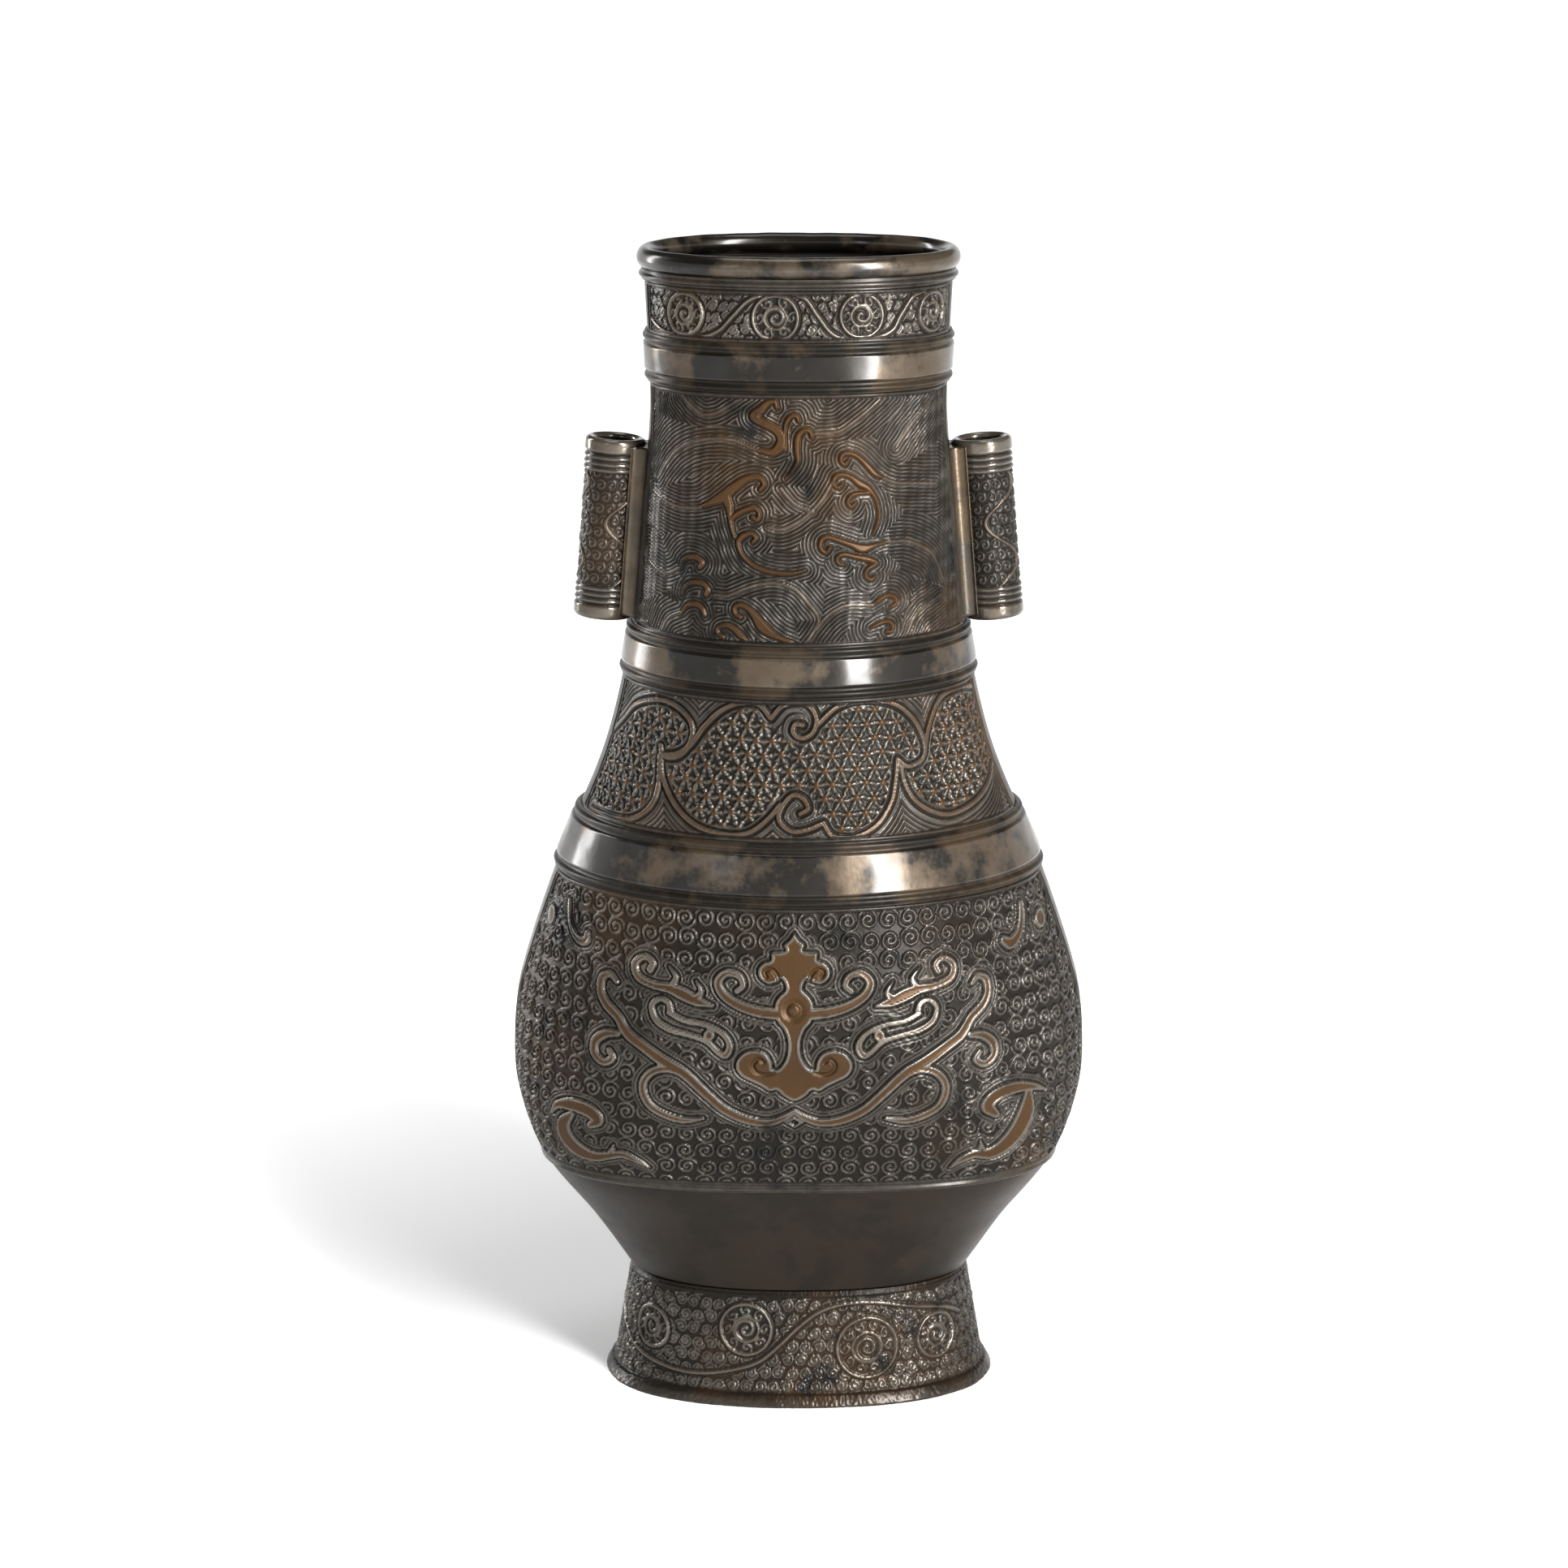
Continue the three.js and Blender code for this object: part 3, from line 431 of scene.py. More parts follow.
class Side:
    """Grid of one side of a zone: each point's way round the side (s) and up the profile (v), in mm."""

    def __init__(self, low, high, columns, spacing):
        self.probe = np.linspace(0 if high < FOOT_TOP else FOOT_TOP, LIP_TOP, 2601)
        depth = outline(self.probe)[1]
        self.rise = np.concatenate([[0], np.cumsum(np.hypot(np.diff(self.probe), np.diff(depth)))])
        start, end = np.interp([low, high], self.probe, self.rise)
        rows = max(3, int(round((end - start) / spacing)) + 1)
        self.level = np.interp(np.linspace(start, end, rows), self.rise, self.probe)
        self.angle = turn(columns)
        self.base = oval(self.level, np.zeros(rows), self.angle)
        ring = self.base[:, columns // 4 : columns // 4 + columns // 2 + 1, :2]
        step = np.linalg.norm(np.diff(ring, axis=1), axis=2)
        run = np.concatenate([np.zeros((rows, 1)), np.cumsum(step, axis=1)], axis=1)
        quarter = run[:, -1:] / 2
        self.s = (run - quarter)[:, :-1]
        self.v = np.interp(self.level, self.probe, self.rise)[:, None] + 0 * self.s
        self.z = self.level[:, None] + 0 * self.s
        self.strip = quarter - np.abs(self.s) - STRIP_HALF

    def place(self, points):
        """Points given by x and level, and any width after them, as points round and up the surface."""
        placed = []
        sweep = np.linspace(-math.pi, 0, 400)
        for x, z, *width in points:
            ring = oval(np.array([z]), np.zeros(1), sweep)[0]
            run = np.concatenate([[0], np.cumsum(np.hypot(np.diff(ring[:, 0]), np.diff(ring[:, 1])))])
            across = np.interp(x, ring[:, 0], run - run[-1] / 2)
            placed.append((across, np.interp(z, self.probe, self.rise), *width))
        return placed

    def strokes(self, lists, reach=4.0):
        """Distance from the edge of the nearest stroke, below 0 inside it and cut off at the reach."""
        field = np.full(self.s.shape, reach)
        for points in lists:
            path = spline(self.place(points))
            width = path[:, 2] if path.shape[1] > 2 else np.zeros(len(path))
            for a, b, start, end in zip(path[:, :2], path[1:, :2], width, width[1:]):
                self.segment(field, a, b, start, end, reach)
        return field

    def segment(self, field, a, b, start, end, reach):
        low = np.minimum(a, b) - reach - max(start, end)
        high = np.maximum(a, b) + reach + max(start, end)
        rows = slice(*np.searchsorted(self.v[:, 0], [low[1], high[1]]))
        near = (self.s[rows] > low[0]) & (self.s[rows] < high[0])
        ds, dv = self.s[rows][near] - a[0], self.v[rows][near] - a[1]
        along = b - a
        t = np.clip((ds * along[0] + dv * along[1]) / max(along @ along, 1e-9), 0, 1)
        distance = np.hypot(ds - t * along[0], dv - t * along[1]) - start - (end - start) * t
        field[rows][near] = np.minimum(field[rows][near], distance)

    def inside(self, points):
        """Even-odd test of every grid point against a closed outline."""
        path = spline(self.place(points + points[:1]), 3)
        hit = np.zeros(self.s.shape, bool)
        for (x0, y0), (x1, y1) in zip(path, path[1:]):
            if y0 != y1:
                crosses = (y0 > self.v) != (y1 > self.v)
                hit ^= crosses & (self.s < x0 + (x1 - x0) * (self.v - y0) / (y1 - y0))
        return hit

    def shape(self, points):
        """Signed distance from the edge of a closed outline, below 0 inside it."""
        edge = self.strokes([points + points[:1]])
        return np.where(self.inside(points), -edge, edge)

    def disc(self, x, z, radius):
        (s, v), = self.place([(x, z)])
        return np.hypot(self.s - s, self.v - v) - radius

    def cells(self, width, height, stagger, shift):
        """Rows of cells: distances from each cell's middle, moved a little, and the cell's column and row."""
        row = np.floor(self.v / height)
        place = self.s / width + stagger * (row % 2)
        column = np.floor(place)
        ds = (place - column - 0.5) * width - shift * np.sin(12.9 * row + 7.8 * column)
        dv = self.v - (row + 0.5) * height - shift * np.sin(4.1 * row + 9.3 * column)
        return ds, dv, column, row

    def spirals(self, pitch, turns, stagger=0.5, half=0.42):
        """Raised line r = step * (turn + angle / 2 pi) in each cell, and neighbours join in an S."""
        ds, dv, column, row = self.cells(pitch, pitch, stagger, 0.02 * pitch)
        about = np.where(column % 2 > 0, -1, 1)
        hand = np.where((row + column // 2) % 2 > 0, -1, 1)
        r = np.hypot(ds, dv)
        share = np.arctan2(about * hand * dv, about * ds) / (2 * math.pi) % 1
        step = 0.49 * pitch / turns
        coil = r / step - share
        line = rounded((coil - np.round(coil)) * step, half)
        return line * smooth(0.5, 0.35, r - 0.49 * pitch + step * (1 - share))

    def panel(self, low, high):
        """Frame of thin raised lines round a panel, and the mask of what is inside it."""
        end = np.minimum(self.z - low, high - self.z) - FRAME_GAP
        frame = sum(rounded(self.strip - gap, LINE_HALF) for gap in (0, 1.5))
        frame = frame * smooth(-0.4, 0.2, end)
        level_line = 0.8 * rounded(end, LINE_HALF) * smooth(-0.4, 0.2, self.strip)
        frame = np.maximum(frame, level_line)
        inside = smooth(1.9, 2.4, self.strip) * smooth(0.5, 0.9, end)
        return frame, inside


def grain(shape, amount, seed, blur=1):
    """Casting roughness: random heights, smoothed with their neighbours and the same on every run."""
    rough = np.random.default_rng(seed).uniform(-1, 1, shape)
    for _ in range(blur):
        rough = (rough + np.roll(rough, 1, 0) + np.roll(rough, 1, 1) + np.roll(rough, (1, 1), (0, 1))) / 4
    return amount * rough * 2**blur


def ridges(side, levels):
    return sum(RIDGE_RAISE * rounded(side.z - level, RIDGE_HALF) for level in levels)


def sunk(side, height, frame, inside, rough):
    """Heights of a panel and its frame, on a ground that rises towards the middle of the side."""
    relief = DEPTH * np.clip(height, 0, 1) * inside + 0.7 * DEPTH * frame
    return np.minimum(relief - DEPTH + rough, TOP_LIMIT) + LIFT * smooth(0, LIFT_FADE, side.strip)


def mirrored(points):
    return [(2 * MASK_MIDDLE - x, *rest) for x, *rest in points]


def bulb_relief(side):
    left = [[(MASK_MIDDLE + x, *rest) for x, *rest in points] for points in MASK_STROKES]
    lone = [[(x, z, 1.2 * half) for x, z, half in points] for points in LONE_STROKES]
    edge = side.strokes(left + [mirrored(points) for points in left] + lone)
    half = [(MASK_MIDDLE + x, z) for x, z in MASK_FIGURE]
    edge = np.minimum(edge, side.shape(half + mirrored(half)[-2:0:-1]))
    for x, z, radius in PEARLS:
        edge = np.minimum(edge, side.disc(x, z, radius))
    grooves = [[(MASK_MIDDLE + x, *rest) for x, *rest in points] for points in MASK_GROOVES]
    groove = side.strokes(grooves + [mirrored(points) for points in grooves])
    x, z, boss, ring = NOSE_BOSS
    eye = side.disc(x, z, 0)
    rim = rounded(edge + 0.38, 0.4)
    ribbon = smooth(0.12, -0.12, edge) * (0.74 + 0.26 * rim)
    mask = ribbon * smooth(-0.15, 0.3, groove) * smooth(boss, ring, eye)
    mask = np.maximum(mask, rounded(eye, boss))
    lines = np.maximum(0.6 * rounded(edge - 0.7, 0.33), 0.5 * rounded(edge - 1.45, 0.3))
    ground = SPIRAL_RAISE * side.spirals(BULB_SPIRAL, 1.8, stagger=0.1) * smooth(1.6, 1.9, edge)
    frame, inside = side.panel(BULB_FLOOR, BULB_TOP)
    height = np.maximum(np.maximum(mask, lines), ground)
    brown = smooth(-0.4, -0.75, edge) * inside
    # Ribbon rims, ground spirals, lines and frame: wear and painted highlight on the raised parts
    wear_and_highlight = np.maximum(0.9 * rim, 0.85 * np.maximum(ground, lines)) * inside + 0.3 * frame
    return sunk(side, height, frame, inside, grain(side.s.shape, 0.01, 1)), brown, wear_and_highlight


def collar_relief(side):
    inner = np.zeros(side.s.shape, bool)
    for points in DIAPER_OUTLINES:
        inner |= side.inside(points)
    edge = side.strokes(CLOUD_STROKES, reach=9.0)
    line = smooth(0.75, 0.4, edge) * (0.8 + 0.2 * rounded(edge - 0.4, 0.35))
    second = 0.6 * rounded(edge - 1.35, 0.34)
    ds, dv, column, row = side.cells(*STAR_CELL, stagger=0.5, shift=0.2)
    r = np.hypot(ds, dv)
    spikes = np.cos(6 * np.arctan2(dv, ds) + 0.8 * np.sin(7.3 * row + 3.1 * column))
    rays = smooth(0.0, 0.9, 0.5 + 0.5 * spikes) * smooth(0.5, 0.8, r) * smooth(2.2, 1.5, r)
    knob = rounded(r, KNOB_HALF)
    star = np.maximum(knob, 0.6 * rays)
    comb = 0.55 * (0.5 + 0.5 * np.cos(2 * math.pi * edge / CLOUD_COMB))
    frame, inside = side.panel(COLLAR_FLOOR, COLLAR_TOP)
    clear = smooth(1.3, 1.7, edge)
    body = np.where(inner, star * clear, comb * smooth(0.9, 1.3, edge))
    # Rays inside the diaper and comb lines outside: wear with painted highlight
    rubbed_and_highlit = np.where(inner, 0.75 * rays * clear, body)
    height = np.maximum(np.maximum(line, second), body)
    rough = grain(side.s.shape, 0.008, 2)
    brown = np.maximum(smooth(0.6, 0.2, edge), np.where(inner, knob * clear, 0)) * inside
    # Cloud lines, rays and combs: wear and painted highlight on their tops
    wear_and_highlight = np.maximum(np.maximum(0.4 * line, 0.6 * second), rubbed_and_highlit)
    return sunk(side, height, frame, inside, rough), brown, wear_and_highlight * inside + 0.3 * frame


def wave_relief(side):
    edge = side.strokes(WAVE_CRESTS, reach=40.0)
    swell = side.strokes(SWELL_LINES, reach=40.0)
    near = np.minimum(edge + 0.35, swell)
    drift = 0.5 * np.sin(0.8 * side.s) * np.sin(0.9 * side.v)
    comb = 0.5 + 0.5 * np.cos(2 * math.pi * near / WAVE_COMB + drift)
    breaks = 0.75 + 0.25 * np.sin(1.1 * side.s + 0.7 * side.v) * np.sin(0.9 * side.v - 1.3 * side.s)
    crest = smooth(0.15, -0.45, edge)
    line = 0.6 * rounded(swell, 0.5)
    frame, inside = side.panel(NECK_FLOOR, THROAT_TOP)
    comb = comb * breaks * smooth(0.1, 0.5, edge)
    height = np.maximum(np.maximum(crest, line), 0.66 * comb)
    rough = grain(side.s.shape, 0.008, 3)
    brown = np.maximum(smooth(0.1, -0.2, edge), 0.6 * line) * inside
    # Swell lines and combs: wear and painted highlight on their tops
    wear_and_highlight = np.maximum(0.5 * line, 0.9 * comb**2)
    return sunk(side, height, frame, inside, rough), brown, wear_and_highlight * inside + 0.3 * frame


def medallion(side, x, z, radius):
    """Ring with a spiral and small curls in it: its height, its rings and where it ends."""
    (s, v), = side.place([(x, z)])
    ds, dv = side.s - s, side.v - v
    r, angle = np.hypot(ds, dv), np.arctan2(dv, ds)
    track, count = 0.74 * radius, round(1.75 * radius - 2)
    turned = (angle * count / (2 * math.pi) + 0.5) % 1 - 0.5
    near = np.hypot(r - track, turned * 2 * math.pi / count * track)
    curls = 0.5 + 0.5 * np.cos(2 * math.pi * near / 1.2 - np.arctan2(r - track, turned))
    core = 0.5 + 0.5 * np.cos(2 * math.pi * r / 1.6 - angle)
    core = core * smooth(0.48, 0.44, r / radius)
    medal = np.where(r < 0.5 * radius, core, 0.8 * curls * smooth(1.5, 1.2, near))
    rings = np.maximum(rounded(r - radius, 0.45), 0.8 * rounded(r - 0.5 * radius, 0.35))
    return 0.75 * medal * (r < radius), rings, r - radius


def vines(side, medallions, vine, cell):
    """Medallions, a vine that winds past them, and spirals on the ground between."""
    fill, line, edge = 0, 0, np.full(side.s.shape, 9.0)
    for x, z, radius in medallions:
        medal, rings, gap = medallion(side, x, z, radius)
        fill, line, edge = np.maximum(fill, medal), np.maximum(line, rings), np.minimum(edge, gap)
    stem = side.strokes([vine])
    line = np.maximum(line, rounded(stem, 0.5) * smooth(0.4, 0.9, edge))
    clear = np.minimum(edge, stem)
    ground = SPIRAL_RAISE * side.spirals(cell, 1.6, stagger=0.35) * smooth(0.7, 1.2, clear)
    return np.maximum(np.maximum(fill, 0.85 * line), ground), line


def scroll_relief(side):
    height, line = vines(side, SCROLL_MEDALLIONS, SCROLL_VINE, SCROLL_SPIRAL)
    frame, inside = side.panel(SCROLL_FLOOR, LIP_FLOOR)
    # Raised scrolls and frame: wear and painted highlight
    wear_and_highlight = height * inside + 0.3 * frame
    return sunk(side, height, frame, inside, grain(side.s.shape, 0.015, 4)), 0.4 * line * inside, wear_and_highlight


def foot_relief(side):
    height, line = vines(side, FOOT_MEDALLIONS, FOOT_VINE, FOOT_SPIRAL)
    inside = smooth(2.6, 3.8, side.z) * smooth(24.8, 24.2, side.z)
    frame = 0.8 * rounded(side.z - 25.1, 0.4) + smooth(3.0, 2.2, side.z) / 0.7
    # Raised scrolls with wear and painted highlight, and a lighter, polished bottom rim
    wear_and_highlight = height * inside + 0.3 * smooth(2.4, 0.6, side.z)
    chips = 0.12 * np.sin(0.35 * side.s + 1.0) * np.sin(0.13 * side.s) - 0.12 + grain(side.s.shape, 0.07, 8)
    rough = grain(side.s.shape, 0.05, 5) + chips * smooth(3.4, 2.4, side.z)
    return sunk(side, height, frame, inside, rough), 0.3 * line * inside, wear_and_highlight


def band_relief(floor, top):
    def relief(side):
        end = np.minimum(side.z - floor, top - side.z)
        plain = smooth(BAND_INSET - 0.3, BAND_INSET, end)
        dents = 0.03 * np.sin(0.31 * side.s + 0.9) * np.sin(0.8 * side.z) + 0.02 * np.sin(0.83 * side.s)
        raised = np.maximum(BAND_RAISE * plain, ridges(side, [floor, top]))
        # Height, brown stain, and the plain part's share of polished colour, partly painted highlight
        return raised - 0.1 * (1 - plain) + dents * plain - 0.06, 0.5 * plain, 0.7 * plain + 0.2

    return relief


def line_relief(level):
    def relief(side):
        # Raised line: a little polished colour, partly painted highlight
        return ridges(side, [level]) - 0.08, 0 * side.s, 0.3 + 0 * side.s

    return relief


def plain_relief(side):
    soft = 0.04 * np.sin(0.23 * side.s + 0.11 * side.z) * np.sin(0.19 * side.z + 1.3)
    # Lower body: a little polished colour, partly painted highlight
    return soft - 0.06, 0 * side.s, 0.1 + 0 * side.s


def ring_mesh(name, points, brown, wear_and_highlight, normals=None):
    """Closed skin through rings of points, each ring and the whole stack closing on itself."""
    rows, columns = points.shape[:2]
    i, j = np.meshgrid(np.arange(rows), np.arange(columns), indexing="ij")
    up, on = (i + 1) % rows, (j + 1) % columns
    faces = np.stack([i * columns + j, i * columns + on, up * columns + on, up * columns + j], axis=-1)
    count = rows * columns
    mesh = bpy.data.meshes.new(name)
    mesh.vertices.add(count)
    mesh.vertices.foreach_set("co", (points * MM).astype(np.float32).ravel())
    mesh.loops.add(4 * count)
    mesh.loops.foreach_set("vertex_index", faces.astype(np.int32).ravel())
    mesh.polygons.add(count)
    mesh.polygons.foreach_set("loop_start", np.arange(0, 4 * count, 4, dtype=np.int32))
    mesh.update(calc_edges=True)
    # brown is stain colour; the other attribute marks wear and where a painted highlight is laid
    for label, values in (("brown", brown), ("wear_and_highlight", wear_and_highlight)):
        layer = mesh.attributes.new(label, "FLOAT", "POINT")
        layer.data.foreach_set("value", np.broadcast_to(values, (rows, columns)).astype(np.float32).ravel())
    if normals is not None:
        mesh.normals_split_custom_set_from_vertices(normals.reshape(-1, 3).tolist())
    return add_piece(name, mesh)


def sharpen(mesh, first, rings):
    """Flat faces from one ring of a ring mesh on, for what has corners."""
    flat = np.arange(len(mesh.polygons)) >= first * (len(mesh.polygons) // rings)
    mesh.attributes.new("sharp_face", "BOOLEAN", "FACE").data.foreach_set("value", flat)


def add_piece(name, mesh):
    piece = bpy.data.objects.new(name, mesh)
    bpy.context.scene.collection.objects.link(piece)
    return piece


def outward(points):
    """Unit normals of a grid of rings that rises, from the differences between neighbours."""
    across = np.roll(points, -1, axis=1) - np.roll(points, 1, axis=1)
    normal = np.cross(across, np.gradient(points, axis=0))
    return normal / np.linalg.norm(normal, axis=2, keepdims=True)


def round_both(columns, *fields):
    """Repeats what is worked out for the front on the back, and turns it to where the rings start."""
    return [np.roll(np.tile(field, 2), columns // 4, axis=1) for field in fields]


def zone_skins(name, low, high, columns, spacing, relief_of, parts=1):
    """Skin of one zone in one or more rings: the outside with its relief, and a wall inside each ring."""
    side = Side(low, high, columns, spacing)
    relief, brown, wear_and_highlight = round_both(columns, *relief_of(side))
    outside = side.base + outward(side.base) * relief[..., None]
    normals = outward(outside)
    cuts = np.linspace(0, len(side.level) - 1, parts + 1).round().astype(int)
    for number, (first, last) in enumerate(zip(cuts, cuts[1:])):
        rows = slice(first, last + 1)
        inner = oval(side.level[[last, first]], np.full(2, -SKIN), side.angle)
        tail = np.zeros((2, columns))
        facing = np.concatenate([normals[rows], -normals[[last, first]]])
        yield ring_mesh(
            f"{name}_{number + 1}" if parts > 1 else name,
            np.concatenate([outside[rows], inner]),
            np.concatenate([brown[rows], tail]),
            np.concatenate([wear_and_highlight[rows], tail]),
            facing,
        )


def plug(tree, slot, value):
    """Links a socket in the expression to a node's slot, or sets the slot to a plain value."""
    if isinstance(value, Maths):
        tree.links.new(value.socket, slot)
    else:
        slot.default_value = value


class Maths:
    """A shader socket that adds its own Math nodes when it is used in an expression."""

    def __init__(self, tree, socket):
        self.tree, self.socket = tree, socket

    def _with(self, operation, a, b):
        node = self.tree.nodes.new("ShaderNodeMath")
        node.operation = operation
        for slot, value in zip(node.inputs, (a, b)):
            plug(self.tree, slot, value)
        return Maths(self.tree, node.outputs[0])

    def __add__(self, other):
        return self._with("ADD", self, other)

    __radd__ = __add__

    def __sub__(self, other):
        return self._with("SUBTRACT", self, other)

    def __mul__(self, other):
        return self._with("MULTIPLY", self, other)

    __rmul__ = __mul__

    def clamp(self):
        node = self._with("ADD", self, 0.0)
        node.socket.node.use_clamp = True
        return node

    def step(self, low, high):
        """0 below low, 1 above high and a straight ramp between."""
        return ((self - low) * (1 / (high - low))).clamp()


class Finish:
    """A material's node tree, with one method for any node and one for a mix of colours."""

    def __init__(self, name):
        self.material = bpy.data.materials.new(name)
        self.material.use_nodes = True
        self.tree = self.material.node_tree
        self.shader = self.tree.nodes["Principled BSDF"]

    def node(self, kind, settings=None, values=None, output=0):
        node = self.tree.nodes.new(kind)
        for key, value in (settings or {}).items():
            setattr(node, key, value)
        for key, value in (values or {}).items():
            plug(self.tree, node.inputs[key], value)
        return Maths(self.tree, node.outputs[output])

    def noise(self, scale, detail=4.0, roughness=0.6):
        place = self.node("ShaderNodeTexCoord", output="Object")
        values = {"Vector": place, "Scale": scale, "Detail": detail, "Roughness": roughness}
        return self.node("ShaderNodeTexNoise", values=values)

    def mix(self, factor, a, b):
        return self.node("ShaderNodeMix", {"data_type": "RGBA"}, {0: factor, 6: a, 7: b}, output=2)

    def feed(self, name, value):
        plug(self.tree, self.shader.inputs[name], value)


def colour(value):
    return (*value, 1.0)


def bronze(name, dark, brown, highlight_and_polish_colour, patch, cover, rough, bump, coat=0.8):
    """Dark bronze with brown stains and ribbons, dark patches, and polished raised lines whose light colour
    is partly a painted highlight.
    """
    finish = Finish(name)
    stained = finish.node("ShaderNodeAttribute", {"attribute_name": "brown"}, output="Fac")
    rubbed_and_highlit = finish.node("ShaderNodeAttribute", {"attribute_name": "wear_and_highlight"}, output="Fac")
    broad = finish.noise(30.0, 5.0)
    middle = finish.noise(110.0, 5.0, 0.65)
    fine = finish.noise(420.0, 5.0, 0.7)
    stain = (finish.noise(16.0, 4.0).step(0.5, 0.66) * 0.5 + stained * (broad * 1.6 + 0.1)).clamp()
    # Share of the polished colour: wear on raised parts, and also where a painted highlight is laid
    polish_with_highlight = (rubbed_and_highlit * (middle * 1.6 - 0.1) + fine * 0.3 - 0.2).clamp()
    # Base colour: stains on dark bronze, then the polished colour, which is partly painted highlight
    base = finish.mix(polish_with_highlight, finish.mix(stain, colour(dark), colour(brown)), colour(highlight_and_polish_colour))
    spots = (broad * 0.7 + middle * 0.45).step(0.72 - 0.4 * cover, 0.8 - 0.4 * cover)
    finish.feed("Base Color", finish.mix(spots, base, colour(patch)))
    finish.feed("Metallic", polish_with_highlight * 0.6 + 0.25)
    finish.feed("Roughness", (rough + 0.3 * (middle - 0.5) - 0.2 * polish_with_highlight).clamp())
    finish.feed("Specular IOR Level", 0.12)
    finish.feed("Coat Weight", polish_with_highlight * coat)
    finish.feed("Coat Roughness", 0.16)
    height = fine * 0.7 + middle * 0.6
    values = {"Height": height, "Strength": bump, "Distance": 0.0003}
    finish.feed("Normal", finish.node("ShaderNodeBump", values=values))
    return finish.material


def finish_piece(piece, material, slot, *nodes):
    piece.data.materials.clear()
    piece.data.materials.append(material)
    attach(piece, BODY)
    if nodes:
        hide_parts(*nodes)
    return piece


class VaseSettings(bpy.types.PropertyGroup):
    spacing: FloatProperty(
        name="Spacing", description="Distance between rows", default=0.00027, unit="LENGTH", precision=5
    )
    dark: FloatVectorProperty(
        name="Dark bronze", description="Colour in recesses", subtype="COLOR", default=(0.011, 0.009, 0.007)
    )
    brown: FloatVectorProperty(
        name="Brown bronze", description="Colour of ribbons", subtype="COLOR", default=(0.055, 0.028, 0.011)
    )
    # Polished colour of raised lines, partly a painted highlight on them
    highlight_and_polish_colour: FloatVectorProperty(
        name="Polished bronze with painted highlight", description="Colour of lines", subtype="COLOR", default=(0.155, 0.138, 0.113)
    )
    solder: FloatVectorProperty(
        name="Solder", description="Colour beside the ears", subtype="COLOR", default=(0.085, 0.055, 0.025)
    )
    key_power: FloatProperty(
        name="Key light", description="Power of the large lamp", default=36.0, unit="POWER"
    )


def settings():
    return bpy.context.scene.vase_settings


def relief_finish():
    s = settings()
    return bronze("relief bronze", s.dark, s.brown, s.highlight_and_polish_colour, NEAR_BLACK, cover=0.2, rough=0.33, bump=0.15)


def band_finish():
    # The third colour is the polished colour, partly a painted highlight
    dark, brown, highlight_and_polish_colour = (0.03, 0.021, 0.013), (0.055, 0.029, 0.012), (0.115, 0.09, 0.064)
    return bronze("band bronze", dark, brown, highlight_and_polish_colour, (0.011, 0.009, 0.007), cover=0.5, rough=0.42, bump=0.3)


def body_finish():
    # The third colour is the polished colour, partly a painted highlight
    dark, brown, highlight_and_polish_colour = (0.02, 0.015, 0.011), (0.04, 0.025, 0.013), (0.045, 0.03, 0.016)
    patch = (0.015, 0.012, 0.009)
    return bronze("body bronze", dark, brown, highlight_and_polish_colour, patch, cover=0.5, rough=0.36, bump=0.15, coat=0.3)


def inside_finish(name):
    # The third colour is the polished colour, partly a painted highlight
    dark, brown, highlight_and_polish_colour = (0.03, 0.026, 0.022), (0.05, 0.04, 0.03), (0.07, 0.055, 0.04)
    return bronze(name, dark, brown, highlight_and_polish_colour, (0.015, 0.013, 0.012), cover=0.6, rough=0.62, bump=1.0, coat=0.0)


class VASE_OT_zones(bpy.types.Operator):
    """Skin of the vessel, zone by zone: panels with relief, plain bands, raised lines and lower body"""

    bl_idname = "vase.zones"
    bl_label = "Vessel zones"

    def execute(self, context):
        fine = settings().spacing / MM
        carved, plain, body = relief_finish(), band_finish(), body_finish()
        shoulder = band_relief(BULB_TOP, COLLAR_FLOOR)
        neck = band_relief(COLLAR_TOP, NECK_FLOOR)
        mouth = band_relief(THROAT_TOP, SCROLL_FLOOR)
        bulb_line, lip_line = line_relief(BULB_FLOOR), line_relief(LIP_FLOOR)
        zones = [
            ("lower_body", FOOT_TOP, BULB_FLOOR - SEAM, 560, 2 * fine, plain_relief, body, 1),
            ("bulb_line", BULB_FLOOR - SEAM, BULB_FLOOR + SEAM, 560, 0.2, bulb_line, carved, 1),
            ("mask_panel", BULB_FLOOR + SEAM, BULB_TOP - SEAM, 1240, 1.12 * fine, bulb_relief, carved, 4),
            ("shoulder_band", BULB_TOP - SEAM, COLLAR_FLOOR + SEAM, 560, 0.3, shoulder, plain, 1),
            ("cloud_collar", COLLAR_FLOOR + SEAM, COLLAR_TOP - SEAM, 1000, fine, collar_relief, carved, 2),
            ("neck_band", COLLAR_TOP - SEAM, NECK_FLOOR + SEAM, 560, 0.3, neck, plain, 1),
            ("wave_panel", NECK_FLOOR + SEAM, THROAT_TOP - SEAM, 860, fine, wave_relief, carved, 2),
            ("mouth_band", THROAT_TOP - SEAM, SCROLL_FLOOR + SEAM, 560, 0.3, mouth, plain, 1),
            ("scroll_band", SCROLL_FLOOR + SEAM, LIP_FLOOR - SEAM, 860, fine, scroll_relief, carved, 1),
            ("lip_line", LIP_FLOOR - SEAM, LIP_SEAT, 560, 0.2, lip_line, carved, 1),
        ]
        for name, low, high, columns, spacing, relief_of, material, parts in zones:
            for piece in zone_skins(name, low, high, columns, spacing, relief_of, parts):
                finish_piece(piece, material, "vessel_bronze", "vessel_body")
        return {"FINISHED"}


